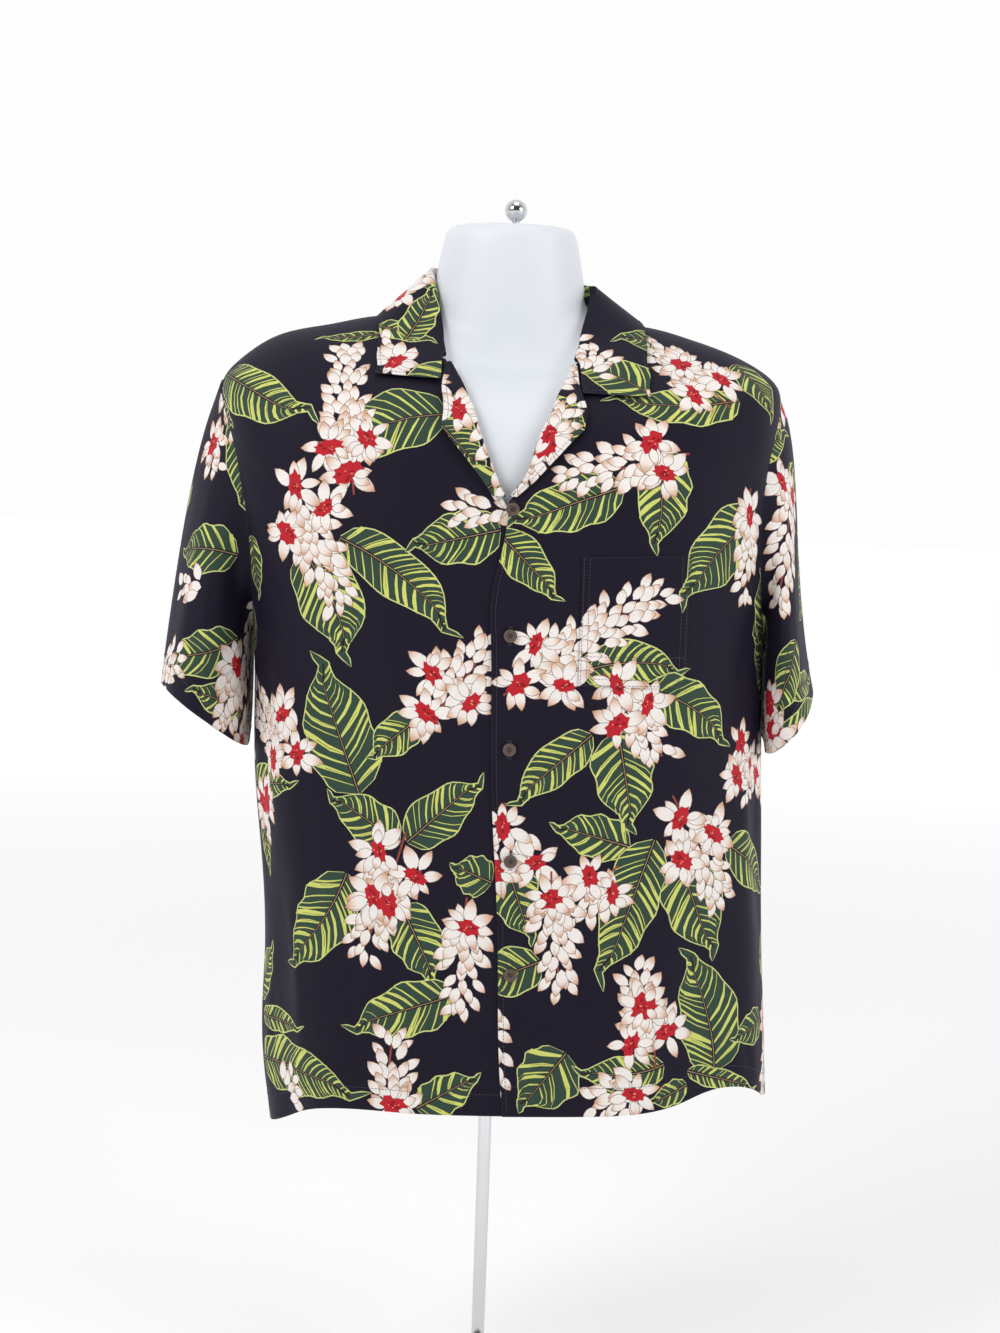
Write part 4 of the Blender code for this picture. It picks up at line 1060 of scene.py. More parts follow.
def heart(centre, radius, dice, plain=False):
    """The blossom's frilled red throat, with darker hollows and a few pale stamens."""
    lobes = int(dice.integers(7, 11))
    turn = np.linspace(0, 2 * math.pi, lobes * 3, endpoint=False)
    squash, lean = dice.uniform(0.55, 0.80), dice.uniform(0, math.pi)
    frill = radius * (1 + 0.15 * np.cos(turn * lobes) + 0.10 * np.sin(turn * 2 + lean)
                      + dice.uniform(-0.07, 0.07, len(turn)))
    ring = np.stack([frill * np.cos(turn), frill * squash * np.sin(turn)], axis=-1)
    spin = np.array([[math.cos(lean), -math.sin(lean)], [math.sin(lean), math.cos(lean)]])
    drawn = [outline(centre + ring @ spin.T, "heart")]
    for _ in range(2 if plain else 4):
        away, angle = radius * dice.uniform(0.1, 0.65), dice.uniform(0, 2 * math.pi)
        spot = np.array([away * math.cos(angle), away * squash * math.sin(angle)])
        shade = np.linspace(0, 2 * math.pi, 6, endpoint=False)
        dark = np.stack([np.cos(shade) * 2.2, np.sin(shade) * 1.2], axis=-1)
        drawn.append(outline(centre + (spot + dark) @ spin.T, "heart_dark"))
    for _ in range(2 if plain else int(dice.integers(3, 6))):
        away, angle = radius * dice.uniform(0.05, 0.45), dice.uniform(0, 2 * math.pi)
        spot = centre + away * np.array([math.cos(angle), squash * math.sin(angle)])
        size = dice.uniform(0.6, 1.1)
        diamond = np.array([[1, 0], [0, 0.8], [-1, 0], [0, -0.8]])
        drawn.append(outline(spot + size * diamond, "speck"))
    return drawn


def heading(angle):
    """A direction on the flat cloth."""
    return np.array([math.cos(angle), math.sin(angle)])


def spray(start, end, width, hearts, dice, plain=False):
    """A spray: open blossoms at its start, and loose overlapping buds that taper to its end."""
    start, end = np.array(start, float), np.array(end, float)
    run = end - start
    length = max(np.linalg.norm(run), 1e-6)
    ahead = run / length
    aside = np.array([-ahead[1], ahead[0]])
    lean = math.atan2(ahead[1], ahead[0])
    drawn = []
    stem = start - ahead * (width * 0.55 + 10)
    points, _, side, _ = bowed(stem, start + run * 0.9, dice.uniform(-4, 4), 9)
    if hearts:
        drawn.append(ribbon(points, side, STEM_HALF, "stem"))
    looser = PLAIN_BUDS_APART if plain else 1.0
    rows = max(int(length / (BUD_ROWS_APART * looser)), 1)
    for row in range(rows, -1, -1):
        share = row / rows
        half = width / 2 * (1 - 0.55 * share ** 1.2)
        across = max(int(round(2 * half / (BUDS_APART * looser))), 1)
        for k in range(across + 1):
            if dice.random() < BUD_MISSING:
                continue
            offset = (k / across - 0.5) * 2 * half * 0.88
            offset += (0.5 if row % 2 else -0.5) * 5.0 + dice.uniform(-1.6, 1.6)
            splay = offset / (half + 5) * 0.95 + dice.uniform(-0.28, 0.28)
            root = start + ahead * (share * length - 6 + dice.uniform(-3, 3))
            root = root + aside * offset * 0.66
            size = dice.uniform(*BUD_LENGTHS) * (1 - 0.15 * share) * (0.45 + 0.55 * looser)
            drawn += petal(root, heading(lean + splay), size, size * dice.uniform(*BUD_SHARES),
                           dice, plain)
    places = []
    for number in range(hearts):
        angle = lean + math.pi + (number - (hearts - 1) / 2) * 2.0 + dice.uniform(-0.25, 0.25)
        away = width * (0.20 if hearts == 1 else 0.44)
        places.append(start + heading(angle) * away + ahead * dice.uniform(0, 6))
    for place in places:
        around = int(dice.integers(6, 9)) - plain
        first = dice.uniform(0, 2 * math.pi)
        for k in range(around):
            angle = first + 2 * math.pi * k / around + dice.uniform(-0.28, 0.28)
            size = dice.uniform(*PETAL_LENGTHS)
            root = place + heading(angle) * dice.uniform(2, 6)
            turned_out = heading(angle + dice.uniform(-0.25, 0.25))
            drawn += petal(root, turned_out, size, size * dice.uniform(*PETAL_SHARES), dice, plain)
    for place in places:
        drawn += heart(place, dice.uniform(*HEART_RADII), dice, plain)
        for _ in range(int(dice.integers(1, 4))):
            angle = dice.uniform(0, 2 * math.pi)
            drawn += petal(place + heading(angle) * 5.5, heading(angle + dice.uniform(-0.6, 0.6)),
                           dice.uniform(*FRONT_PETAL_LENGTHS),
                           dice.uniform(*FRONT_PETAL_WIDTHS), dice, plain)
    return drawn

# %% [markdown]
# ## Inlaying the print in the cloth
# An image would blur close up, so the print is inlaid like marquetry. A constrained
# triangulation takes the piece's outline, all motif outlines and an even lattice, and
# returns triangles that never cross a line of the drawing. Each triangle takes the colour
# of the topmost motif it lies in. Then every corner is carried from the flat pattern to
# the hung surface, so the drawing bends with the folds exactly as printed cloth does.

# %% From the pattern to the hung cloth
FINE = 5.2               # mm between lattice points on the printed face
BACK_FINE, BACK_COARSE = 8.0, 10.0          # mm on the back, which is twice as wide
COARSE = 7.6             # mm on the reverse
SLEEVE_COARSE = 3.8      # mm on the reverse of a sleeve, whose cap bends tightly
FOLDED = 1.2             # mm between points along the edges of a piece that folds over
EDGE_STEP = 3.0          # mm between points along an edge
LINEAR = {ink: np.array(to_linear(value)) for ink, value in INK.items()}


def run_of(points):
    """The distance run along a line, at each of its points."""
    return np.concatenate([[0], np.cumsum(np.linalg.norm(np.diff(points, axis=0), axis=-1))])


def grid_edge(grid, flat, step):
    """Rows and columns of points all the way round the piece, evenly spaced."""
    rows, cols = grid.shape[:2]
    around = [(np.zeros(cols), np.arange(cols)),
              (np.arange(rows), np.full(rows, cols - 1)),
              (np.full(cols, rows - 1), np.arange(cols)[::-1]),
              (np.arange(rows)[::-1], np.zeros(rows))]
    row, col = [], []
    for side_row, side_col in around:
        place = between(flat, side_row, side_col)
        run = run_of(place)
        steps = np.linspace(0, run[-1], max(int(run[-1] * 1000 / step), 2) + 1)[:-1]
        row.append(np.interp(steps, run, side_row))
        col.append(np.interp(steps, run, side_col))
    return np.concatenate(row), np.concatenate(col)


def found_on(flat, places):
    """Rows and columns of flat places: the nearest cell first, then Newton's method."""
    rows, cols = flat.shape[:2]
    corner = np.concatenate([flat.reshape(-1, 2), np.zeros((rows * cols, 1))], axis=1)
    tree = BVHTree.FromPolygons(corner.tolist(), grid_faces(rows, cols))
    row, col = np.empty(len(places)), np.empty(len(places))
    for k, (x, y) in enumerate(places.tolist()):
        _, _, cell, _ = tree.find_nearest((x, y, 0))
        row[k], col[k] = cell // (cols - 1) + 0.5, cell % (cols - 1) + 0.5
    step = 0.01
    for _ in range(6):
        here = between(flat, row, col)
        by_row = (between(flat, row + step, col) - here) / step
        by_col = (between(flat, row, col + step) - here) / step
        miss = places - here
        area = by_row[:, 0] * by_col[:, 1] - by_row[:, 1] * by_col[:, 0]
        area = np.where(np.abs(area) < 1e-12, 1e-12, area)
        row = row + np.clip((miss[:, 0] * by_col[:, 1] - miss[:, 1] * by_col[:, 0]) / area, -1, 1)
        col = col + np.clip((by_row[:, 0] * miss[:, 1] - by_row[:, 1] * miss[:, 0]) / area, -1, 1)
        row, col = np.clip(row, 0, rows - 1), np.clip(col, 0, cols - 1)
    return row, col


def hung_places(grid, row, col):
    """Points and outward normals of the hung cloth."""
    rows, cols = grid.shape[:2]
    step = 0.02
    low, high = np.clip(row - step, 0, rows - 1), np.clip(row + step, 0, rows - 1)
    left, right = np.clip(col - step, 0, cols - 1), np.clip(col + step, 0, cols - 1)
    around = between(grid, row, right) - between(grid, row, left)
    upward = between(grid, high, col) - between(grid, low, col)
    return between(grid, row, col), unit(np.cross(around, upward))


def lattice(low, high, pitch):
    """Evenly spaced places in a box, every other row set off by half a step."""
    places = []
    for k, y in enumerate(np.arange(low[1], high[1], pitch * 0.87)):
        xs = np.arange(low[0] + (k % 2) * pitch / 2, high[0], pitch)
        places += [(x, y) for x in xs]
    return np.array(places)


def distance_to(places, ring):
    """The distance of each place to a closed line, by way of points set closely along it."""
    shares = np.linspace(0, 1, 5)[:-1, None, None]
    points = (ring * (1 - shares) + np.roll(ring, -1, axis=0) * shares).reshape(-1, 2)
    tree = KDTree(len(points))
    for k, (x, y) in enumerate(points.tolist()):
        tree.insert((x, y, 0), k)
    tree.balance()
    return np.array([tree.find((x, y, 0))[2] for x, y in places.tolist()])


def inside_of(places, ring):
    """Whether each place lies inside a closed line."""
    inside = np.zeros(len(places), bool)
    x, y = places[:, 0], places[:, 1]
    for (x1, y1), (x2, y2) in zip(ring, np.roll(ring, -1, axis=0)):
        crosses = (y1 > y) != (y2 > y)
        inside ^= crosses & (x < (x2 - x1) * (y - y1) / (y2 - y1 if y2 != y1 else 1e-12) + x1)
    return inside


def cut_out(ring, inlays, pitch, knots=None):
    """Triangles of a piece, and for each the number of the topmost inlay; in millimetres."""
    points = lattice(ring.min(axis=0), ring.max(axis=0), pitch) if knots is None else knots
    clear = inside_of(points, ring) & (distance_to(points, ring) > pitch * 0.4)
    loops = [ring] + [inlay["points"] for inlay in inlays]
    edges, count = [], 0
    for loop in loops:
        edges += [(count + k, count + (k + 1) % len(loop)) for k in range(len(loop))]
        count += len(loop)
    corners = [Vector(p) for p in np.concatenate(loops + [points[clear]])]
    places, _, triangles, _, _, _ = delaunay_2d_cdt(corners, edges, [], 0, 1e-3, False)
    places, triangles = np.array([tuple(p) for p in places]), np.array(triangles)
    middle = places[triangles].mean(axis=1)
    kept = inside_of(middle, ring)
    middle, triangles = middle[kept], triangles[kept]
    order = np.argsort(middle[:, 1])
    middle, triangles = middle[order], triangles[order]
    owners = np.zeros(len(triangles), int)
    for number, loop in enumerate(loops[1:], start=1):
        first, last = np.searchsorted(middle[:, 1], (loop[:, 1].min(), loop[:, 1].max()))
        band = middle[first:last]
        beside = (band[:, 0] > loop[:, 0].min()) & (band[:, 0] < loop[:, 0].max())
        near = first + np.flatnonzero(beside)
        owners[near[inside_of(middle[near], loop)]] = number
    used = np.unique(triangles)
    renumber = np.full(len(places), -1)
    renumber[used] = np.arange(len(used))
    places, triangles = places[used], renumber[triangles]
    corner = places[triangles]
    area = np.cross(corner[:, 1] - corner[:, 0], corner[:, 2] - corner[:, 0])
    triangles[area < 0] = triangles[area < 0][:, ::-1]
    return places, triangles, owners


def rim_of(triangles):
    """The corners around the edge, in order."""
    edges = np.concatenate([triangles[:, [0, 1]], triangles[:, [1, 2]], triangles[:, [2, 0]]])
    seen = {tuple(edge) for edge in edges.tolist()}
    following = {a: b for a, b in seen if (b, a) not in seen}
    first = min(following)
    ring = [first]
    while following[ring[-1]] != first:
        ring.append(following[ring[-1]])
    return np.array(ring)


def corner_inks(places, triangles, owners, inlays):
    """The linear colour of each corner of each triangle."""
    colours = np.empty((len(triangles), 3, 4))
    colours[:] = LINEAR["ground"]
    for number in np.unique(owners[owners > 0]):
        inlay, own = inlays[number - 1], owners == number
        ink = LINEAR[inlay["ink"]]
        if inlay["tip"] is None:
            colours[own] = ink
            continue
        root, scaled, starts = inlay["axis"]
        share = (places[triangles[own]] - root) @ scaled
        blend = ease(starts, 1.05, share)[..., None]
        colours[own] = ink * (1 - blend) + LINEAR[inlay["tip"]] * blend
    return colours


def fill(layer, key, values):
    """Writes the values of a mesh's layer."""
    layer.data.foreach_set(key, np.asarray(values, np.float32).ravel())


def printed_cloth(name, grid, flat, inlays, fine, coarse, folds):
    """A closed, thin piece: printed face, plain reverse and the edge between them.

    A piece that folds over takes the points of its own grid, which are close at the fold.
    """
    knots = flat.reshape(-1, 2) * 1000 if folds else None
    row, col = grid_edge(grid, flat, FOLDED if folds else EDGE_STEP)
    ring = between(flat, row, col) * 1000
    low, high = ring.min(axis=0), ring.max(axis=0)
    near = [i for i in inlays if (i["points"].min(axis=0) < high).all()
            and (i["points"].max(axis=0) > low).all()]
    face, triangles, owners = cut_out(ring, near, fine, knots)
    rim = rim_of(triangles)
    back, back_triangles, _ = cut_out(face[rim], [], coarse, knots)
    back_rim = rim_of(back_triangles)
    start = np.argmin(np.linalg.norm(back[back_rim] - face[rim[0]], axis=1))
    back_rim = np.roll(back_rim, -start)
    if len(back_rim) != len(rim):
        raise ValueError(f"{name}: the two sides' edges differ")

    places = np.concatenate([face, back]) / 1000
    row, col = found_on(flat, places)
    points, normals = hung_places(grid, row, col)
    side = np.concatenate([np.ones(len(face)), -np.ones(len(back))])[:, None]
    points = points + normals * side * CLOTH / 2
    count = len(face)
    reverse = (back_triangles + count)[:, ::-1]
    behind = back_rim + count
    edge = np.stack([rim, behind, np.roll(behind, -1), np.roll(rim, -1)], axis=1)
    faces = triangles.tolist() + reverse.tolist() + edge.tolist()

    mesh = bpy.data.meshes.new(name)
    mesh.from_pydata(points.tolist(), [], faces)
    colours = corner_inks(face, triangles, owners, near).reshape(-1, 4)
    rest = len(reverse) * 3 + len(edge) * 4
    all_colours = np.concatenate([colours, np.tile(LINEAR["ground"], (rest, 1))])
    fill(mesh.color_attributes.new("print", "BYTE_COLOR", "CORNER"), "color", all_colours)

    corners = np.concatenate([triangles.ravel(), reverse.ravel(), edge.ravel()])
    fill(mesh.uv_layers.new(name="cloth"), "uv", places[corners])
    fill(mesh.uv_layers.new(name="OFBake"), "uv",
         bake_places(places * 1000, triangles, reverse, edge, low, high))
    to_edge = np.concatenate([distance_to(face, ring), distance_to(back, ring)])
    fill(mesh.attributes.new("to_edge", "FLOAT", "POINT"), "value", to_edge / 1000)
    fill(mesh.attributes.new("reverse", "FLOAT", "POINT"), "value", (1 - side[:, 0]) / 2)
    mesh.shade_smooth()
    mesh.normals_split_custom_set_from_vertices((normals * side).tolist())
    mesh.update()
    piece = bpy.data.objects.new(name, mesh)
    bpy.context.scene.collection.objects.link(piece)
    print(f"{name}: {len(mesh.polygons)} faces, {len(near)} inlays")
    return piece


def bake_places(places, triangles, reverse, edge, low, high):
    """A second map in the unit square: the face large, the reverse small beside it."""
    width, height = high - low
    scale = 0.97 / max(height, width * 1.36)
    front = 0.015 + (places - low) * scale
    behind = 0.015 + (places - low) * scale / 3 + np.array([width * scale + 0.03, 0])
    around = front[edge[:, [0, 3]]]
    run = unit(around[:, 1] - around[:, 0] + 1e-12)
    outward = np.stack([run[:, 1], -run[:, 0]], axis=-1) * 0.004
    strip = np.stack([around[:, 0], around[:, 0] + outward, around[:, 1] + outward, around[:, 1]],
                     axis=1)
    return np.concatenate([front[triangles].reshape(-1, 2), behind[reverse].reshape(-1, 2),
                           strip.reshape(-1, 2)])

# %% [markdown]
# ## The print's repeat
# A printed cloth has a drawn repeat, and each piece is cut from another part of it. The
# tables below give the leaves and the sprays that lie on the two fronts, measured along the
# cloth from the centre front and the hem. The back, sleeves and collar are cut from the
# same repeat, moved along, as they would be from the same bolt.

# %% The print's repeat
# Leaf: x and y of its base, x and y of its tip, width and bow, in millimetres.
# Spray: x and y of its blossoms, x and y of its far end, width and number of hearts.
RIGHT_LEAVES = (
    (-274, 665, -160, 598, 44, -9), (-131, 708, -189, 692, 15, 0), (-54, 613, -157, 559, 60, -10),
    (-141, 499, -39, 413, 42, 9), (-177, 490, -137, 390, 60, 9), (-5, 507, -86, 489, 47, 0),
    (-131, 281, -171, 404, 64, 0), (-78, 345, -123, 311, 36, 0), (-90, 239, -21, 297, 42, 0),
    (-97, 239, -161, 283, 38, 0), (-145, 211, -219, 124, 53, 9), (-18, 203, -54, 220, 34, 0),
    (-97, 185, -65, 112, 44, 0), (-52, 106, -152, 76, 49, 0), (-279, 69, -191, 72, 24, 0),
    (-284, 28, -127, 17, 49, 9), (-87, 7, -30, 38, 34, 0), (-284, 278, -188, 289, 34, 0),
    (-262, 247, -250, 198, 21, 0), (-241, 505, -240, 446, 26, 0),
    (-332, 97, -305, 198, 50, 1), (-273, -59, -364, -6, 50, -3), (-262, 406, -335, 453, 45, -4),
    (-291, 84, -250, 140, 34, -1), (-288, 233, -349, 266, 33, -3), (-303, 628, -255, 603, 28, 4),
)
LEFT_LEAVES = (
    (-5, 505, 49, 442, 38, 0), (103, 538, -3, 508, 44, 0), (217, 610, 95, 624, 38, 8),
    (141, 569, 128, 478, 49, 0), (233, 514, 149, 430, 53, -9), (162, 711, 118, 637, 26, 0),
    (233, 659, 254, 595, 38, 0), (61, 382, 158, 379, 38, 8), (120, 366, 201, 310, 47, 8),
    (94, 330, 107, 240, 53, 0), (71, 328, -3, 268, 36, 0), (103, 230, 33, 253, 38, 0),
    (125, 235, 74, 107, 51, 0), (148, 213, 183, 124, 61, 0), (197, 226, 287, 169, 44, 0),
    (-4, 221, 17, 147, 42, 0), (23, 134, -36, 113, 42, 0), (181, 25, 148, 140, 60, -9),
    (251, 62, 198, 51, 30, 0), (43, 54, 0, 4, 53, 0), (129, 39, 47, 42, 32, 7),
    (153, 30, 234, 2, 19, 0), (152, 18, 112, 5, 21, 0),
    (318, 430, 310, 326, 50, -8), (336, 30, 293, -66, 50, 7), (263, 113, 366, 91, 50, 5),
    (300, 350, 240, 420, 40, 6), (295, 604, 309, 692, 43, -6), (274, 397, 247, 467, 36, 3),
)
RIGHT_SPRAYS = (
    (-134, 568, -153, 683, 42, 3), (-176, 523, -141, 444, 51, 3), (0, 525, -46, 525, 30, 0),
    (-55, 362, -14, 410, 51, 3), (-206, 323, -302, 368, 51, 3), (-105, 212, -134, 139, 51, 4),
    (-42, 162, -48, 90, 34, 1), (-108, 15, -106, 74, 34, 1), (-225, 12, -213, 20, 42, 0),
    (-253, 266, -251, 234, 17, 2), (-330, 560, -262, 566, 40, 2), (-356, 321, -281, 310, 36, 2),
)
LEFT_SPRAYS = (
    (131, 560, 51, 551, 38, 2), (189, 635, 159, 690, 51, 4), (223, 513, 218, 437, 24, 1),
    (28, 384, 133, 450, 51, 3), (100, 354, 136, 302, 42, 3), (223, 296, 232, 263, 38, 3),
    (159, 239, 192, 175, 51, 3), (1, 234, 2, 227, 51, 3), (72, 191, 44, 160, 38, 2),
    (36, 183, 40, 106, 34, 1), (115, 69, 105, 126, 42, 4), (99, 15, 62, 8, 34, 1),
    (-23, 93, -18, 21, 17, 0), (278, 284, 350, 208, 48, 2), (290, 50, 254, -14, 35, 3),
)
BOLT = {"leaves": RIGHT_LEAVES + LEFT_LEAVES, "sprays": RIGHT_SPRAYS + LEFT_SPRAYS}
REPEAT = (590.0, 745.0)          # mm, from one repeat of the whole table to the next
# For each other piece: where the bolt's corner lies on it, what is drawn there of its own,
# and the box around that which the bolt leaves clear.
CUTS = {
    "shirt_back": (
        (170, 90),
        ((176, 818, 201, 716, 50, 4), (247, 13, 142, 9, 50, -2), (-105, 582, -165, 496, 50, -5),
         (77, 735, 133, 823, 50, -4), (-142, 168, -188, 250, 45, -8),
         (-58, 290, -9, 356, 40, -7), (-92, 519, -35, 463, 38, -4), (-200, 677, -251, 617, 38, -4),
         (-167, 422, -223, 476, 37, 1), (-154, 726, -93, 687, 35, 1)),
        ((-145, 649, -42, 669, 48, 1), (-202, 49, -104, 57, 47, 2), (129, 656, 213, 674, 41, 2),
         (-161, 352, -109, 294, 38, 3), (-116, 178, -95, 252, 37, 2)), None),
    "sleeve_right": (
        (-60, -420),
        ((61, 247, 102, 167, 29, 0), (105, 130, 26, 120, 42, 0), (131, 59, 48, 26, 42, 8),
         (-12, 223, -80, 303, 50, -2), (8, 182, -88, 140, 50, 6), (156, -5, 88, 3, 33, -2),
         (212, 101, 188, 41, 31, 6)),
        ((49, 268, 74, 236, 36, 1), (37, 217, 56, 195, 29, 1), (74, 91, 43, 90, 19, 0),
         (137, 29, 136, -22, 37, 1), (175, -27, 237, 37, 43, 1), (-91, 224, -37, 194, 30, 2)),
        (-20, 0, 150, 300)),
    "sleeve_left": (
        (150, -60),
        ((-97, 51, -139, -18, 29, 0), (-62, 269, -62, 225, 22, 0), (-216, 99, -161, 21, 46, -4),
         (-60, 199, -5, 174, 29, -4)),
        ((-68, 177, -117, 82, 34, 2), (-142, -31, -112, -32, 26, 0)), (-140, 40, -50, 220)),
    "collar": ((40, -470), ((-210, 3, -133, 3, 29, 0),),
               ((-238, 3, -217, 24, 34, 1), (203, -18, 181, 1, 34, 0)), None),
    "lapel_left": ((-120, -300), (), ((-1, 65, 6, 105, 26, 1),), None),
    "lapel_right": ((60, -90), (), ((-10, 91, -10, 97, 26, 1),), None),
}


def drawn(leaves, sprays, seed, plain=False):
    """The inlays of some leaves and, over them, some sprays; plain ones have fewer lines."""
    dice = np.random.default_rng(seed)
    inlays = []
    for x, y, tip_x, tip_y, width, bow in leaves:
        inlays += leaf((x, y), (tip_x, tip_y), width, bow, dice, plain)
    for x, y, end_x, end_y, width, hearts in sprays:
        inlays += spray((x, y), (end_x, end_y), width, hearts, dice, plain)
    return inlays


def cut_from_bolt(rows, corner, low, high, clear):
    """The rows of the repeat that touch a piece, moved to where they lie on it."""
    found = []
    for turns_x in (-1, 0, 1):
        for turns_y in (-1, 0, 1):
            shift = np.array(corner) + np.array(REPEAT) * (turns_x, turns_y)
            for row in rows:
                start, end = shift + row[:2], shift + row[2:4]
                middle = (start + end) / 2
                if (middle < low - 70).any() or (middle > high + 70).any():
                    continue
                if clear and (clear[:2] < middle).all() and (middle < clear[2:]).all():
                    continue
                found.append((*start, *end, *row[4:]))
    return found


PRINTS = {"shirt_front_left": drawn(LEFT_LEAVES, LEFT_SPRAYS, 11),
          "shirt_front_right": drawn(RIGHT_LEAVES, RIGHT_SPRAYS, 12)}
PRINTS["pocket"] = PRINTS["shirt_front_left"]
for number, (name, (corner, leaves, sprays, clear)) in enumerate(CUTS.items()):
    places = FLAT[name].reshape(-1, 2) * 1000
    box = (places.min(axis=0), places.max(axis=0))
    around = [cut_from_bolt(BOLT[kind], corner, *box, clear) for kind in ("leaves", "sprays")]
    PRINTS[name] = drawn(around[0] + list(leaves), around[1] + list(sprays), 20 + number,
                         plain=name == "shirt_back")
for name, inlays in PRINTS.items():
    print(name, "inlays:", len(inlays))

# %% Cutting and printing the pieces
CLOTH_NAMES = {"shirt_front_right": "rayon_front_right", "shirt_front_left": "rayon_front_left",
               "shirt_back": "rayon_back", "sleeve_right": "rayon_sleeve_right",
               "sleeve_left": "rayon_sleeve_left", "collar": "rayon_collar",
               "lapel_right": "rayon_lapel_right", "lapel_left": "rayon_lapel_left",
               "pocket": "rayon_pocket"}
LATTICES = {"shirt_back": (BACK_FINE, BACK_COARSE), "sleeve_right": (FINE, SLEEVE_COARSE),
            "sleeve_left": (FINE, SLEEVE_COARSE)}
PIECES = {}
for node, name in CLOTH_NAMES.items():
    folds = node == "collar" or node.startswith("lapel")
    fine, coarse = (FOLDED, FOLDED) if folds else LATTICES.get(node, (FINE, COARSE))
    PIECES[node] = printed_cloth(name, GRIDS[node], FLAT[node], PRINTS[node], fine, coarse, folds)

# %% [markdown]
# ## Stitches
# Hems and edges are topstitched by machine: a run of short threads that dip into the cloth
# at both ends. Each stitch is a tiny six-sided spindle, set along a line of the piece's
# grid at an even pitch. They are separate pieces that lie on the cloth.

# %% Rows of stitches
STITCH_PITCH = 3.1               # mm; drawn a little longer than the real 2.5 mm
STITCH_LENGTH = 2.3
STITCH_RADIUS = 0.22
LINE_SAMPLES = 400
SPINDLE = ((-0.50, 0.30, -0.30), (-0.28, 0.95, 0.10), (0.28, 0.95, 0.10), (0.50, 0.30, -0.30))


def stitch_line(name, row, col):
    """Stitches along rows and columns of a piece's grid: places, directions and normals."""
    row, col = (np.interp(np.linspace(0, 1, LINE_SAMPLES), np.linspace(0, 1, len(line)), line)
                for line in (row, col))
    points, normals = hung_places(GRIDS[name], row, col)
    points = points + normals * (CLOTH / 2 + STITCH_RADIUS / 1000 * 0.5)
    run = run_of(points)
    count = max(int(run[-1] * 1000 / STITCH_PITCH), 1)
    at = (np.arange(count) + 0.5) / count * run[-1]

    def sample(values, where):
        return np.stack([np.interp(where, run, values[:, k]) for k in range(3)], axis=-1)
    reach = STITCH_LENGTH / 2000
    ahead = unit(sample(points, at + reach) - sample(points, at - reach))
    return sample(points, at), ahead, unit(sample(normals, at))


def ring_faces(rings, sides, first=0, capped=True):
    """The faces between rings of points with that many sides each, and caps at both ends."""
    faces = []
    for ring in range(rings - 1):
        for k in range(sides):
            a, b = first + ring * sides + k, first + ring * sides + (k + 1) % sides
            faces.append((a, b, b + sides, a + sides))
    if capped:
        last = first + (rings - 1) * sides
        faces += [tuple(range(first, first + sides))[::-1], tuple(range(last, last + sides))]
    return faces


def sewn(name, lines, length=STITCH_LENGTH, radius=STITCH_RADIUS):
    """One piece of all the stitches on those lines."""
    places, ahead, normals = (np.concatenate(part) for part in zip(*lines))
    side = unit(np.cross(normals, ahead))
    vertices, faces, sides = [], [], 6
    for place, forward, out, across in zip(places, ahead, normals, side):
        start = len(vertices)
        for share, wide, high in SPINDLE:
            middle = place + forward * (share * length / 1000) + out * (high * radius / 1000)
            for k in range(sides):
                angle = 2 * math.pi * k / sides
                vertices.append(middle + (across * math.cos(angle) + out * math.sin(angle))
                                * (wide * radius / 1000))
        faces += ring_faces(len(SPINDLE), sides, start)
    return shaped(name, vertices, faces)


def shaped(name, vertices, faces, smooth=True):
    """A new mesh object from plain lists."""
    mesh = bpy.data.meshes.new(name)
    mesh.from_pydata([tuple(map(float, v)) for v in vertices], [], faces)
    if smooth:
        mesh.shade_smooth()
    mesh.update()
    piece = bpy.data.objects.new(name, mesh)
    bpy.context.scene.collection.objects.link(piece)
    return piece


def row_up(name, distance):
    """The row that lies that far above a piece's lowest edge; below its top if negative."""
    run = run_of(GRIDS[name][:, GRIDS[name].shape[1] // 2])
    at = run[-1] + distance if distance < 0 else distance
    return float(np.interp(at, run, np.arange(len(run))))


def col_in(name, row, distance):
    """The column that lies that far in from the first one; from the last one if negative."""
    cols = np.linspace(0, GRIDS[name].shape[1] - 1, LINE_SAMPLES)
    run = run_of(between(GRIDS[name], np.full(LINE_SAMPLES, float(row)), cols))
    at = run[-1] + distance if distance < 0 else distance
    return float(np.interp(at, run, cols))


def full_row(name, row):
    """A whole row of a grid, from its first column to its last."""
    return stitch_line(name, np.full(60, row), np.linspace(0.3, GRIDS[name].shape[1] - 1.3, 60))


def edge_run(name, low, high, distance, steps=60):
    """A line up a grid that keeps that far from its side edge."""
    rows = np.linspace(low, high, steps)
    return stitch_line(name, rows, [col_in(name, row, distance) for row in rows])


def row_at(along):
    """The row of a front or the back at that level."""
    levels = panel_levels()
    return float(np.interp(along, levels, np.arange(len(levels))))


def level_run(name, height, first, last):
    """A level line that keeps clear of both side edges, in metres."""
    row = row_up(name, height)
    return stitch_line(name, np.full(60, row), np.linspace(
        col_in(name, row, first), col_in(name, row, last), 60))


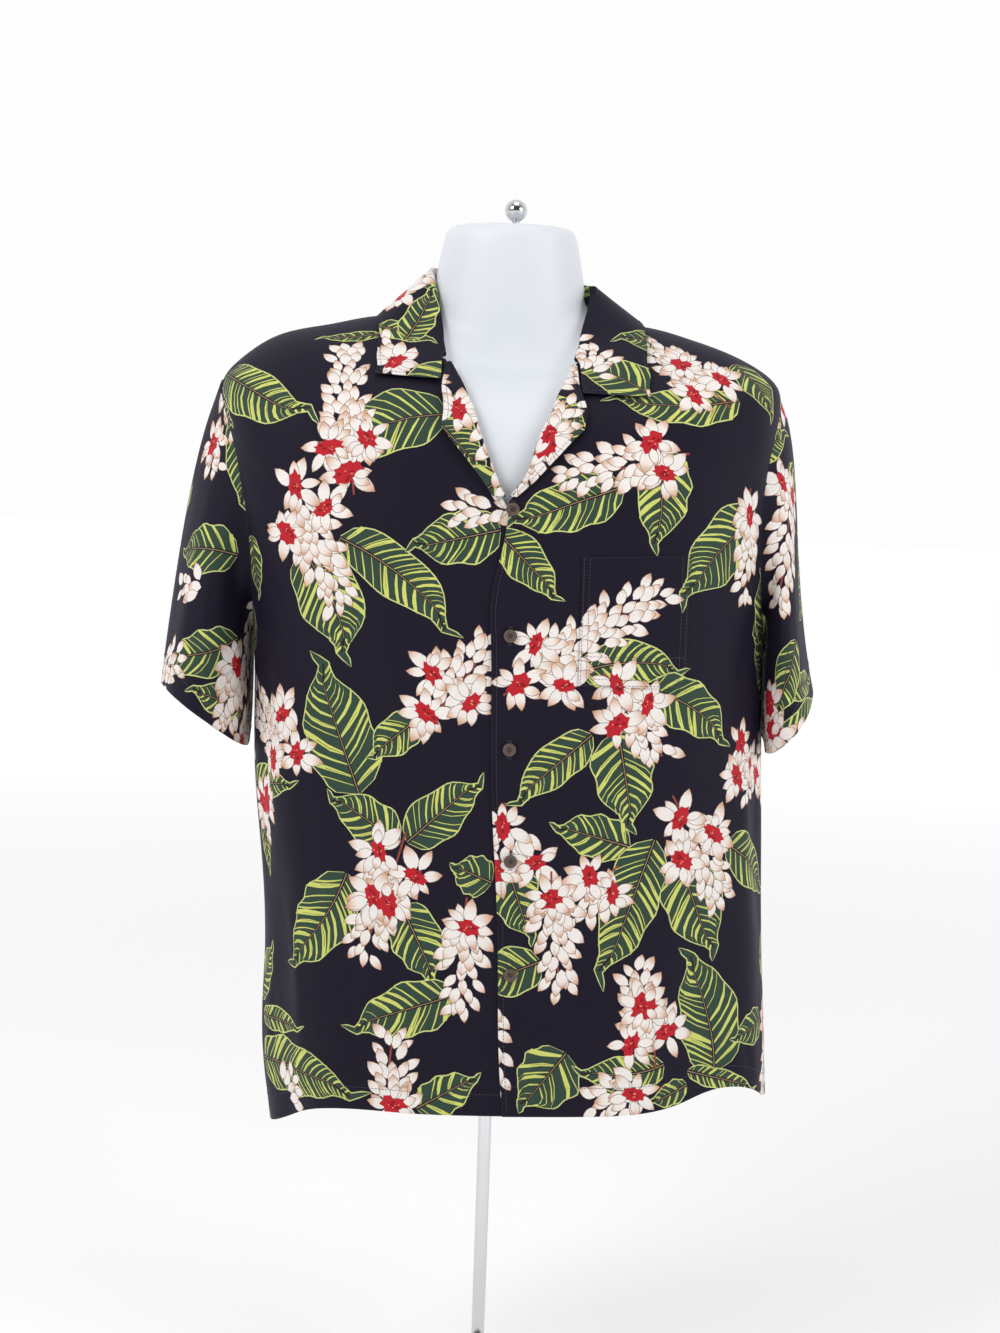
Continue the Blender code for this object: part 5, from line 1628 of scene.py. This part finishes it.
HEM_DEPTHS = {"shirt_front_left": 0.020, "shirt_front_right": 0.020, "shirt_back": 0.020,
              "sleeve_right": 0.025, "sleeve_left": 0.025}
POCKET_HEM_DEPTH = 0.026
FRONT_STITCH, EDGE_STITCH = 0.0045, 0.0042    # in from the fronts' edges; collar's and lapels'
POCKET_STITCHES = (0.0016, 0.0066)            # two rows, in from the pocket's edges
COLLAR_FALL_DEPTH = 0.055
STITCHES = {name: [full_row(name, row_up(name, depth))] for name, depth in HEM_DEPTHS.items()}
STITCHES["shirt_front_left"].append(
    edge_run("shirt_front_left", 0.5, row_at(0.580), FRONT_STITCH))
STITCHES["shirt_front_right"].append(
    edge_run("shirt_front_right", row_at(0.520), row_at(0.600), -FRONT_STITCH))
STITCHES["pocket"] = [level_run("pocket", POCKET_HEM_DEPTH, 0.002, -0.002)]
COLLAR_ENDS = row_up("collar", -COLLAR_FALL_DEPTH), row_up("collar", -EDGE_STITCH)
STITCHES["collar"] = [edge_run("collar", *COLLAR_ENDS, EDGE_STITCH),
                      edge_run("collar", *COLLAR_ENDS, -EDGE_STITCH),
                      level_run("collar", -EDGE_STITCH, EDGE_STITCH, -EDGE_STITCH)]
for name, inset in (("lapel_left", -EDGE_STITCH), ("lapel_right", EDGE_STITCH)):
    STITCHES[name] = [edge_run(name, 1, GRIDS[name].shape[0] - 3, inset)]
for inset in POCKET_STITCHES:
    ends = row_up("pocket", inset), row_up("pocket", -0.001)
    STITCHES["pocket"] += [edge_run("pocket", *ends, inset), edge_run("pocket", *ends, -inset),
                           level_run("pocket", inset, inset, -inset)]
for name, lines in STITCHES.items():
    print(name, "stitches:", sum(len(line[0]) for line in lines))

# %% [markdown]
# ## Buttons
# A coconut-shell button is turned on a lathe: a raised rim, a groove cut round it and a
# dished middle with four holes. The lathe profile gives the rings; the middle is a disc
# with four holes cut out by the same triangulation as the print. Thread crosses the holes.

# %% Buttons
# x and height of each button, from the top one down
BUTTON_ROWS = ((0.0060, 0.830), (0.0075, 0.723), (0.0100, 0.626), (0.0142, 0.530), (0.0175, 0.432))
BUTTON_SPINS = (7, -12, 18, 4, -9)           # degrees
BUTTON_RADIUS = 0.00575
BUTTON_STEPS = 56
# From the dished middle outwards, over the groove and the rim, round to the underside.
BUTTON_PROFILE = (
    (2.55, 1.45), (2.85, 1.62), (3.10, 1.72), (3.25, 1.62), (3.42, 1.60), (3.60, 1.90),
    (3.95, 2.36), (4.35, 2.56), (4.80, 2.58), (5.25, 2.44), (5.60, 2.08), (5.75, 1.62),
    (5.66, 1.10), (5.20, 0.45), (4.60, 0.06), (4.20, 0.0),
)
HOLE_OUT, HOLE_RADIUS, HOLE_STEPS = 1.15, 0.52, 14


def ring_of(radius, height, steps, centre=(0.0, 0.0)):
    """A level circle of points."""
    turn = np.linspace(0, 2 * math.pi, steps, endpoint=False)
    return [(centre[0] + radius * math.cos(t), centre[1] + radius * math.sin(t), height)
            for t in turn]


def lathe(profile, steps):
    """Rings of points for a turned profile, and the faces between them."""
    vertices = [point for radius, height in profile for point in ring_of(radius, height, steps)]
    return vertices, [face[::-1] for face in ring_faces(len(profile), steps, capped=False)]


def button_mesh():
    """Vertices and faces of one button in millimetres, its face up."""
    vertices, faces = lathe(BUTTON_PROFILE, BUTTON_STEPS)
    last = (len(BUTTON_PROFILE) - 1) * BUTTON_STEPS
    faces.append(tuple(last + k for k in range(BUTTON_STEPS))[::-1])
    level = BUTTON_PROFILE[0][1]
    holes = [ring_of(HOLE_RADIUS, level, HOLE_STEPS, (x, y))
             for x in (-HOLE_OUT, HOLE_OUT) for y in (-HOLE_OUT, HOLE_OUT)]
    loops = [vertices[:BUTTON_STEPS]] + holes
    corners, edges = [], []
    for loop in loops:
        edges += [(len(corners) + k, len(corners) + (k + 1) % len(loop)) for k in range(len(loop))]
        corners += [Vector(p[:2]) for p in loop]
    places, _, triangles, _, _, _ = delaunay_2d_cdt(corners, edges, [], 0, 1e-4, False)
    flat = np.array([tuple(p) for p in places])
    middle = flat[np.array(triangles)].mean(axis=1)
    solid = ~np.any([inside_of(middle, np.array(hole)[:, :2]) for hole in holes], axis=0)
    start = len(vertices)
    vertices += [(x, y, level) for x, y in flat.tolist()]
    faces += [tuple(start + k for k in triangle)
              for triangle, kept in zip(triangles, solid) if kept]
    for hole in holes:
        top, low = len(vertices), len(vertices) + HOLE_STEPS
        vertices += hole + [(x, y, 0.15) for x, y, _ in hole]
        faces += [(top + k, low + k, low + (k + 1) % HOLE_STEPS, top + (k + 1) % HOLE_STEPS)
                  for k in range(HOLE_STEPS)]
        faces.append(tuple(low + k for k in range(HOLE_STEPS)))
    return np.array(vertices), faces


def tube(path, radius, sides=7):
    """A round thread along a path."""
    path = np.array(path, float)
    ahead = unit(np.gradient(path, axis=0))
    side = unit(np.cross(ahead, (0.13, 0.21, 0.97)))
    up = np.cross(side, ahead)
    vertices = []
    for point, across, above in zip(path, side, up):
        for k in range(sides):
            turn = 2 * math.pi * k / sides
            vertices.append(point + radius * (across * math.cos(turn) + above * math.sin(turn)))
    return np.array(vertices), ring_faces(len(path), sides)


def thread_mesh():
    """The thread through one button: two strands that each cross from hole to hole."""
    vertices, faces = np.zeros((0, 3)), []
    for x in (-HOLE_OUT, HOLE_OUT):
        for off in (-0.17, 0.17):
            share = np.linspace(-1, 1, 9)
            height = 1.45 + 0.42 - 1.5 * np.abs(share) ** 6
            path = np.stack([x + off * (1 - 0.4 * share ** 2), HOLE_OUT * share, height], axis=-1)
            more, more_faces = tube(path, 0.20)
            faces += [tuple(k + len(vertices) for k in face) for face in more_faces]
            vertices = np.concatenate([vertices, more])
    return vertices, faces


def along_at_height(height):
    """The level at which the centre front stands that high."""
    levels = np.linspace(0, SHOULDER_TIP, 400)
    return float(np.interp(height, RING["z_front"](levels), levels))


def button_frame(x, height):
    """Where a button sits: its place, and a rotation whose Z points away from the cloth."""
    along = along_at_height(height)
    theta = theta_at(x - RING["shift"](along), along)
    place = shirt(theta, along, WALL / 2 + 0.0003)
    normal = surface_normal(theta, np.array(along))
    rotation = Vector(normal).to_track_quat("Z", "Y").to_matrix()
    return np.array(place), np.array(rotation)


def placed(mesh, place, rotation, spin):
    """A mesh in millimetres, spun and set in its place."""
    vertices, faces = mesh
    turn = np.array(Matrix.Rotation(spin, 3, "Z"))
    return vertices / 1000 @ turn.T @ rotation.T + place, faces


BUTTON, THREAD = button_mesh(), thread_mesh()
BUTTONS, BUTTON_THREADS = [], []
for number, (row, degrees) in enumerate(zip(BUTTON_ROWS, BUTTON_SPINS), start=1):
    where = (*button_frame(*row), math.radians(degrees))
    BUTTONS.append(shaped(f"coconut_button_{number}", *placed(BUTTON, *where)))
    fill(BUTTONS[-1].data.attributes.new("turned", "FLOAT", "POINT"), "value",
         np.hypot(*BUTTON[0][:, :2].T) / BUTTON_RADIUS / 1000)
    BUTTON_THREADS.append(shaped(f"button_thread_{number}", *placed(THREAD, *where)))
print("button: faces", len(BUTTON[1]), "thread: faces", len(THREAD[1]))

BUTTONHOLE, BUTTONHOLE_BARS, BUTTONHOLE_HALF = 0.0155, 17, 0.0011
BAR_LENGTH, BAR_RADIUS, BAR_SAMPLES = 1.7, 0.26, 300      # mm, and places tried along a row


def buttonhole(x, height):
    """Short bars of thread down both sides of a slit: places, directions and normals."""
    grid = GRIDS["shirt_front_left"]
    rows, cols = [], []
    for step in np.linspace(-0.5, 0.5, BUTTONHOLE_BARS) * BUTTONHOLE:
        row = row_at(along_at_height(height + step))
        near = np.linspace(0, grid.shape[1] // 3, BAR_SAMPLES)
        line = between(grid, np.full(BAR_SAMPLES, row), near)
        rows += [row, row]
        cols += [float(np.interp(x + side * BUTTONHOLE_HALF, line[:, 0], near))
                 for side in (-1, 1)]
    rows, cols = np.array(rows), np.array(cols)
    places, normals = hung_places(grid, rows, cols)
    beside = between(grid, rows, cols + 0.2)
    return places + normals * CLOTH / 2, unit(beside - places), normals


BUTTONHOLES = sewn("stitches_buttonholes", [buttonhole(*row) for row in BUTTON_ROWS],
                   BAR_LENGTH, BAR_RADIUS)
print("buttonhole bars:", len(BUTTON_ROWS) * BUTTONHOLE_BARS * 2)

# %% [markdown]
# ## The dress form
# The form fills the shirt: its skin runs a few millimetres inside the cloth at the chest
# and further in at the waist. It is built in rings like the shirt, from a rounded foot to
# the flat top of the neck, and smoothed between them.

# %% Dress form
FORM_COLUMNS = ("along", "in_front", "in_side", "in_back", "shift_share")
FORM_ROWS = (
    (0.075, 0.034, 0.038, 0.026, 0.0), (0.120, 0.030, 0.034, 0.022, 0.0),
    (0.230, 0.036, 0.048, 0.026, 0.0), (0.340, 0.024, 0.040, 0.020, 0.0),
    (0.450, 0.014, 0.026, 0.014, 0.2), (0.550, 0.009, 0.019, 0.012, 0.6),
    (0.620, 0.007, 0.016, 0.010, 0.9), (0.665, 0.006, 0.012, 0.007, 1.0),
    (0.700, 0.005, 0.0040, 0.005, 1.0), (0.735, 0.0045, 0.0019, 0.0035, 1.0),
    (0.775, 0.0045, 0.0017, 0.0030, 1.0), (0.812, 0.0050, 0.0018, 0.0026, 1.0),
    (0.846, 0.0060, 0.0034, 0.0040, 1.0),
)
NECK_SHIFT = -0.0035
NECK_COLUMNS = ("half_width", "front", "back", "z_front", "z_side")
NECK_ROWS = (
    (0.0690, -0.0540, 0.0500, 0.9730, 1.0160), (0.0675, -0.0515, 0.0490, 0.9950, 1.0290),
    (0.0650, -0.0505, 0.0490, 1.0250, 1.0440), (0.0620, -0.0505, 0.0490, 1.0530, 1.0600),
    (0.0590, -0.0500, 0.0480, 1.0710, 1.0730), (0.0555, -0.0465, 0.0450, 1.0790, 1.0795),
    (0.0480, -0.0400, 0.0390, 1.0822, 1.0822), (0.0300, -0.0250, 0.0240, 1.0830, 1.0830),
)
FORM_BOTTOM, FORM_START, FORM_WAIST, FORM_CHEST = 0.360, 0.085, 0.300, 0.630
FORM_FOOT_SHARE, FORM_ROUND = 0.95, 0.010
FORM_COLS = 96
THROAT_DEPTH, THROAT_HALF_WIDTH = 0.0034, 0.017
THROAT_RISE = (0.955, 0.985, 1.000, 1.062)     # starts, is deepest between, and ends


def form_rings(cols):
    """The dress form's rings, from its foot to the top of its neck."""
    form = columns(FORM_COLUMNS, FORM_ROWS)
    theta = np.linspace(0, 2 * math.pi, cols, endpoint=False)
    sin, cos = np.sin(theta), np.cos(theta)
    inset = {name: smooth_curve(form["along"], form[name]) for name in FORM_COLUMNS[1:]}
    rings = []
    for along in np.concatenate([np.linspace(FORM_START, FORM_CHEST, 10),
                                 np.linspace(FORM_CHEST, form["along"][-1], 10)[1:]]):
        at = {name: float(curve(along)) for name, curve in inset.items()}
        level = np.full_like(theta, along)
        depth = at["in_side"] + (np.where(cos > 0, at["in_front"], at["in_back"])
                                 - at["in_side"]) * cos ** 2
        ring = bare_surface(theta, level, min(max(at["shift_share"], 0), 1))
        ring -= surface_normal(theta, level) * depth[:, None]
        flat = 1 - ease(FORM_START, FORM_WAIST, along)
        ring[:, 2] += flat * (FORM_BOTTOM + FORM_ROUND + along - FORM_START - ring[:, 2])
        rings.append(ring)
    rings.insert(0, rings[0] * (FORM_FOOT_SHARE, FORM_FOOT_SHARE, 0) + (0, 0, FORM_BOTTOM))
    for row in named_rows(NECK_COLUMNS, NECK_ROWS):
        depth = np.where(cos > 0, -row["front"], row["back"])
        dip = np.where(cos > 0, row["z_front"] - row["z_side"], 0)
        rings.append(np.stack([NECK_SHIFT + row["half_width"] * sin, -cos * depth,
                               row["z_side"] + dip * cos ** 2], axis=-1))
    return np.array(rings)


def smooth_form(name):
    """The rings, filled in between, with flat ends."""
    rings = form_rings(FORM_COLS)
    count = len(rings)
    rows = np.concatenate([[0, 0.25, 0.6], np.linspace(1, count - 1, (count - 2) * 3 + 1)])
    points = between(rings, rows[:, None] * np.ones(FORM_COLS),
                     np.ones(len(rows))[:, None] * np.arange(FORM_COLS))
    across, height = points[..., 0] - NECK_SHIFT, points[..., 2]
    throat = bell(across, THROAT_HALF_WIDTH) * ease(*THROAT_RISE[:2], height)
    throat = throat * (1 - ease(*THROAT_RISE[2:], height)) * (points[..., 1] < 0)
    points[..., 1] += THROAT_DEPTH * throat
    return shaped(name, points.reshape(-1, 3), ring_faces(len(rows), FORM_COLS))


TORSO = smooth_form("moulded_torso")
print("torso faces:", len(TORSO.data.polygons))

# %% [markdown]
# ## Finial and stand
# The chrome parts are turned, so each is one profile in millimetres, spun round the pole's
# axis. Small roundings at the corners catch the light as polished metal does.

# %% Finial and stand
TURNED_STEPS = 72
BALL_CENTRE, BALL_RADIUS, STEM_RADIUS = 1097.6, 10.0, 3.5
NECK_TOP = 1083.1
AXIS = 0.02                      # a profile stops this close to the axis
POLE_TOP, POLE_FOOT, POLE_RADIUS, POLE_ROOM = 359.4, 12.8, 6.0, 6.3
FLANGE_TOP, PLATE_TOP, PLATE_RADIUS = 359.7, 9.0, 130.0


def turned(name, profile):
    """A turned piece round the Z axis; the profile runs down its outside, in millimetres."""
    vertices, faces = lathe(profile[::-1], TURNED_STEPS)
    return shaped(name, np.array(vertices) / 1000, faces)


def ball_profile():
    """The ball, its short stem and its foot, from the top down."""
    join = math.asin(STEM_RADIUS / BALL_RADIUS)
    ball = [(max(BALL_RADIUS * math.sin(turn), AXIS), BALL_CENTRE + BALL_RADIUS * math.cos(turn))
            for turn in np.linspace(0, math.pi - join, 26)]
    foot = ((STEM_RADIUS, 3.2), (3.6, 1.9), (4.4, 1.35), (5.7, 1.15), (6.1, 0.7), (6.1, 0),
            (AXIS, 0))
    return ball + [(radius, NECK_TOP + rise) for radius, rise in foot]


def rounded(radius, top, bottom, bevel):
    """The rounded outer side of a disc or rod, from its top edge to its bottom edge."""
    quarter = np.radians(np.linspace(0, 90, 5))
    core = radius - bevel
    upper = [(core + bevel * math.sin(t), top - bevel + bevel * math.cos(t)) for t in quarter]
    lower = [(core + bevel * math.cos(t), bottom + bevel - bevel * math.sin(t)) for t in quarter]
    return upper + lower


FINIAL = turned("chrome_ball", ball_profile())
POLE = turned("chrome_pole", [(AXIS, POLE_TOP)] + rounded(POLE_RADIUS, POLE_TOP, POLE_FOOT, 0.4)
              + [(AXIS, POLE_FOOT)])
FLANGE = turned("chrome_flange", [(POLE_ROOM, FLANGE_TOP)]
                + rounded(32.0, FLANGE_TOP, FLANGE_TOP - 4, 1.0)
                + [(12.5, 355.7), (11.0, 355.2), (10.3, 354.0), (10.3, 331.0)]
                + [(9.9, 330.1), (9.2, 329.7), (POLE_ROOM, 329.7)])
PLATE = turned("chrome_plate", [(POLE_ROOM, 12.5), (POLE_ROOM, 42.0)]
               + rounded(16.0, 42.0, 20.0, 1.4)[:5]
               + [(16.0, 12.5), (16.6, 10.2), (18.6, PLATE_TOP)]
               + rounded(PLATE_RADIUS, PLATE_TOP, 0.0, 2.0) + [(AXIS, 0.0)])
for piece in (FINIAL, POLE, FLANGE, PLATE):
    print(piece.name, "faces:", len(piece.data.polygons))

# %% [markdown]
# ## Finishes
# Every finish starts from the real stuff: rayon is a smooth, slightly lustrous plain weave;
# coconut shell is a dense brown wood; the form is painted plastic; the stand is chrome
# over steel. One helper adds a node with its settings, another fills a node's inputs.

# %% Node helpers
def connect(tree, node, inputs):
    """Fills inputs: a plain value is set on its socket, another node's output is linked."""
    for key, value in inputs.items():
        if isinstance(value, bpy.types.NodeSocket):
            tree.links.new(value, node.inputs[key])
        else:
            node.inputs[key].default_value = value


def wired(tree, kind, inputs=None, output=0, **settings):
    """Adds a node with its settings and inputs, and gives the output that is wanted."""
    node = tree.nodes.new("ShaderNode" + kind)
    for key, value in settings.items():
        setattr(node, key, value)
    connect(tree, node, inputs or {})
    return node.outputs[output]


def finish(name):
    """A new material, its Principled shader and the helper that adds nodes to it."""
    material = bpy.data.materials.new(name)
    material.use_nodes = True
    tree = material.node_tree
    return material, tree.nodes["Principled BSDF"], partial(wired, tree)


# %% Printed rayon
THREAD_PITCH = 0.00085           # metres; about twice the real pitch, so it still shows
BANDS_IN_A_METRE = 3.18          # of a wave texture at scale 1
EDGE_WEAR, WORN_WIDTH = 0.10, 0.0014     # how much paler a worn edge is, and how wide


def rayon():
    """Plain weave with the ink in it: slubs, faded mottling, worn edges, a pale reverse."""
    material, shader, add = finish("rayon_print_on_dark_ground")
    ink = add("Attribute", output="Color", attribute_name="print")
    reverse = add("Attribute", output="Fac", attribute_name="reverse")
    to_edge = add("Attribute", output="Fac", attribute_name="to_edge")
    cloth = add("UVMap", output="UV", uv_map="cloth")
    mottle = add("TexNoise", {"Vector": cloth, "Scale": 22, "Detail": 4, "Roughness": 0.6})
    drawn_out = add("Mapping", {"Vector": cloth, "Scale": (1, 14, 1)})
    slub = add("TexNoise", {"Vector": drawn_out, "Scale": 60, "Detail": 3})
    grain = add("TexNoise", {"Vector": cloth, "Scale": 900, "Detail": 2})
    shade = add("MapRange", {0: mottle, 3: 0.90, 4: 1.08})
    for uneven in (slub, grain):
        level = add("MapRange", {0: uneven, 3: 0.90, 4: 1.10})
        shade = add("Math", {0: shade, 1: level}, operation="MULTIPLY")
    toned = add("VectorMath", {0: ink, "Scale": shade}, operation="SCALE")
    worn = add("MapRange", {0: to_edge, 1: 0.0, 2: WORN_WIDTH, 3: EDGE_WEAR, 4: 0.0})
    faded = add("Mix", {0: worn, 6: toned, 7: to_linear("#5b5664")}, 2, data_type="RGBA")
    both = add("Mix", {0: reverse, 6: faded, 7: to_linear("#4a4650")}, 2, data_type="RGBA")
    waves = [add("TexWave", {"Vector": cloth, "Scale": 1 / THREAD_PITCH / BANDS_IN_A_METRE,
                             "Distortion": 0.6, "Detail": 1.0, "Detail Scale": 0.4}, 1,
                 bands_direction=axis) for axis in ("X", "Y")]
    weave = add("Math", {0: waves[0], 1: waves[1]}, operation="MAXIMUM")
    slubbed = add("Math", {0: weave, 1: slub}, operation="ADD")
    connect(material.node_tree, shader, {
        "Base Color": both, "Roughness": add("MapRange", {0: mottle, 3: 0.56, 4: 0.72}),
        "Normal": add("Bump", {"Height": slubbed, "Strength": 0.35, "Distance": 0.00012}),
        "Sheen Weight": 0.05, "Sheen Roughness": 0.40, "Sheen Tint": to_linear("#b7a6e0"),
        "Specular IOR Level": 0.18})
    return material


def sewing_thread():
    """Spun polyester thread, a shade lighter than the ground."""
    material, shader, add = finish("dark_sewing_thread")
    place = add("TexCoord", output="Object")
    twist = add("TexNoise", {"Vector": place, "Scale": 2600, "Detail": 2})
    connect(material.node_tree, shader, {
        "Base Color": add("Mix", {0: twist, 6: to_linear("#2a2631"), 7: to_linear("#57525e")}, 2,
                          data_type="RGBA"),
        "Roughness": 0.6,
        "Normal": add("Bump", {"Height": twist, "Strength": 0.4, "Distance": 0.0001})})
    return material


# %% Coconut shell, painted plastic and chrome
# How bright the shell is, from the middle of the button to its edge.
BUTTON_TONES = ((0.0, 0.30), (0.40, 0.38), (0.52, 1.10), (0.60, 0.22), (0.72, 0.80), (1.0, 0.45))


def coconut_shell():
    """Dark wood with short pale fibres, rubbed smooth."""
    material, shader, add = finish("turned_coconut_shell")
    place = add("TexCoord", output="Object")
    drawn_out = add("Mapping", {"Vector": place, "Scale": (1, 1, 5)})
    fibre = add("TexNoise", {"Vector": drawn_out, "Scale": 420, "Detail": 5, "Roughness": 0.65})
    cloud = add("TexNoise", {"Vector": place, "Scale": 140, "Detail": 2})
    grain = add("Mix", {0: add("MapRange", {0: fibre, 3: -0.6, 4: 1.6}), 6: to_linear("#4b3830"),
                        7: to_linear("#8d7566")}, 2, data_type="RGBA")
    colour = add("Mix", {0: add("MapRange", {0: cloud, 3: -0.3, 4: 0.8}), 6: grain,
                         7: to_linear("#63504a")}, 2, data_type="RGBA")
    rings = add("ValToRGB", {0: add("Attribute", output="Fac", attribute_name="turned")})
    stops = rings.node.color_ramp.elements
    for radius, _ in BUTTON_TONES[1:-1]:
        stops.new(radius)
    for stop, (radius, level) in zip(stops, BUTTON_TONES):
        stop.position, stop.color = radius, (level, level, level, 1)
    connect(material.node_tree, shader, {
        "Base Color": add("VectorMath", {0: colour, 1: rings}, operation="MULTIPLY"),
        "Roughness": add("MapRange", {0: fibre, 3: 0.34, 4: 0.52}),
        "Normal": add("Bump", {"Height": fibre, "Strength": 0.25, "Distance": 0.00008})})
    return material


def painted_plastic():
    """Cool white satin paint with a faint orange peel."""
    material, shader, add = finish("satin_white_form")
    place = add("TexCoord", output="Object")
    peel = add("TexNoise", {"Vector": place, "Scale": 480, "Detail": 2})
    cloud = add("TexNoise", {"Vector": place, "Scale": 9, "Detail": 4})
    connect(material.node_tree, shader, {
        "Base Color": add("Mix", {0: cloud, 6: to_linear("#d6dbe2"), 7: to_linear("#e0e4e9")}, 2,
                          data_type="RGBA"),
        "Roughness": add("MapRange", {0: cloud, 3: 0.40, 4: 0.52}),
        "Normal": add("Bump", {"Height": peel, "Strength": 0.12, "Distance": 0.0002})})
    return material


def chrome(name, low, high):
    """Chrome plating; the roughness wanders a little, as wiping leaves it."""
    material, shader, add = finish(name)
    drawn_out = add("Mapping", {"Vector": add("TexCoord", output="Object"), "Scale": (1, 1, 0.2)})
    wiped = add("TexNoise", {"Vector": drawn_out, "Scale": 60, "Detail": 5, "Roughness": 0.6})
    connect(material.node_tree, shader, {
        "Base Color": add("Mix", {0: wiped, 6: to_linear("#c9cbce"), 7: to_linear("#dcdddf")}, 2,
                          data_type="RGBA"),
        "Metallic": 1.0, "Roughness": add("MapRange", {0: wiped, 3: low, 4: high})})
    return material


RAYON, THREAD_FINISH, COCONUT, PLASTIC = (
    rayon(), sewing_thread(), coconut_shell(), painted_plastic())
CHROME, BRUSHED = chrome("polished_chrome", 0.05, 0.13), chrome("chromed_plate", 0.10, 0.20)
print("finishes:", len(bpy.data.materials))

# %% [markdown]
# ## Fastening everything to the model
# Each piece rides on the imported model's one body, gets its finish and takes the place of
# its plain solid.

# %% Pieces and cut sizes
TIED = []


def settled(piece, material, slot, *nodes):
    """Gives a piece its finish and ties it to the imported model."""
    TIED.append(piece.name)
    piece.data.materials.append(material)
    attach(piece, "root")
    if nodes:
        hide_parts(*nodes)
    return piece


SEWING = {}
for node, lines in STITCHES.items():
    SEWING[node] = settled(sewn("stitches_" + CLOTH_NAMES[node][6:], lines), THREAD_FINISH,
                           "printed_rayon")
for node, piece in PIECES.items():
    settled(piece, RAYON, "printed_rayon", node)
for number, (button, thread) in enumerate(zip(BUTTONS, BUTTON_THREADS), start=1):
    settled(button, COCONUT, "coconut_shell", f"button_{number}")
    settled(thread, THREAD_FINISH, "printed_rayon")
settled(BUTTONHOLES, THREAD_FINISH, "printed_rayon")
settled(TORSO, PLASTIC, "painted_form", "dress_form")
settled(FINIAL, CHROME, "chromed_steel", "finial")
settled(POLE, CHROME, "chromed_steel", "pole")
settled(FLANGE, CHROME, "chromed_steel", "form_flange")
settled(PLATE, BRUSHED, "chromed_base", "base")

# Width, length and flat area of each cut, and how it is held on what.
SHEETS = {
    "shirt_front_left": (0.334, 0.786, 0.206, "hung", ("dress_form",)),
    "shirt_front_right": (0.334, 0.822, 0.216, "hung", ("dress_form",)),
    "shirt_back": (0.607, 0.811, 0.420, "hung", ("dress_form",)),
    "sleeve_left": (0.411, 0.308, 0.066, "hung", ("dress_form",)),
    "sleeve_right": (0.435, 0.314, 0.076, "hung", ("dress_form",)),
    "collar": (0.510, 0.172, 0.048, "folded", ("dress_form",)),
    "lapel_left": (0.044, 0.151, 0.0033, "folded", ("shirt_front_left",)),
    "lapel_right": (0.039, 0.148, 0.0033, "folded", ("shirt_front_right",)),
    "pocket": (0.098, 0.115, 0.0106, "laid", ("shirt_front_left",)),
}
for node, (width, length, area, held, rests_on) in SHEETS.items():
    extras = [SEWING[node]] if node in SEWING else []
    if node == "shirt_front_left":
        extras += BUTTON_THREADS + [BUTTONHOLES]
print("pieces tied:", len(TIED))

# %% [markdown]
# ## Floor and light
# The shirt stands on a plain pale floor that glows a little more with distance, so that it
# runs into the backdrop. Three soft panels light it: the key high on the left, a weaker one
# on the right and a faint one overhead. The room is white behind the shirt and dark behind
# the lens, which keeps a dark cloth dark.

# %% Floor and light
FLOOR_REACH, FLOOR_SIDES, FLOOR_DROP = 60.0, 96, 0.0004
BACKDROP = 0.985                 # what the lens sees behind the shirt
ROOM_BEHIND_LENS, ROOM_BEHIND_SHIRT = 0.08, 0.95
ROOM_TURNS = (-0.75, 0.25)       # from the one to the other, along Y
GLOW_NEAR, GLOW_FAR = (0.9, 0.12), (5.5, 0.40)   # the floor's own glow, at metres out
floor = shaped("pale_floor", ring_of(FLOOR_REACH, -FLOOR_DROP, FLOOR_SIDES),
               [tuple(range(FLOOR_SIDES))], smooth=False)
floor_finish, floor_shader, add = finish("pale_floor")
dust = add("TexNoise", {"Scale": 3.0, "Detail": 3})
away = add("VectorMath", {0: add("TexCoord", output="Object")}, "Value", operation="LENGTH")
glow = add("MapRange", {0: away, 1: GLOW_NEAR[0], 2: GLOW_FAR[0], 3: GLOW_NEAR[1], 4: GLOW_FAR[1]})
connect(floor_finish.node_tree, floor_shader, {
    "Base Color": add("Mix", {0: dust, 6: to_linear("#f1f1f1"), 7: to_linear("#f6f6f6")}, 2,
                      data_type="RGBA"),
    "Roughness": 0.9, "Emission Color": (1, 1, 1, 1), "Emission Strength": glow})
floor.data.materials.append(floor_finish)

world = bpy.data.worlds.new("white_room")
world.use_nodes = True
add = partial(wired, world.node_tree)
depth = add("SeparateXYZ", {0: add("TexCoord", output="Generated")}, "Y")
room = add("MapRange", {0: depth, 1: ROOM_TURNS[0], 2: ROOM_TURNS[1],
                        3: ROOM_BEHIND_LENS, 4: ROOM_BEHIND_SHIRT})
seen = add("LightPath", output="Is Camera Ray")
connect(world.node_tree, world.node_tree.nodes["Background"], {
    "Color": (1, 1, 1, 1), "Strength": add("Mix", {0: seen, 2: room, 3: BACKDROP})})
bpy.context.scene.world = world
bpy.context.scene.view_settings.view_transform = "Standard"

# %% Light panels
PANEL_AIM = Vector((0, 0, 0.75))
LIGHTS = (                       # name, place, size in metres and watts
    ("key_panel", (-2.3, -2.3, 2.6), 1.5, 58),
    ("top_panel", (0.1, -0.7, 3.1), 1.4, 11),
    ("fill_panel", (2.6, -1.9, 1.7), 1.5, 34),
)
for name, place, size, watts in LIGHTS:
    panel = bpy.data.lights.new(name, "AREA")
    panel.shape, panel.size, panel.energy = "SQUARE", size, watts
    lamp = bpy.data.objects.new(name, panel)
    bpy.context.scene.collection.objects.link(lamp)
    lamp.location = place
    lamp.rotation_euler = (PANEL_AIM - Vector(place)).to_track_quat("-Z", "Y").to_euler()
print("lights:", len(LIGHTS))

# %% [markdown]
# ## Closing
# The view layer is brought up to date.

# %% Closing
bpy.context.view_layer.update()
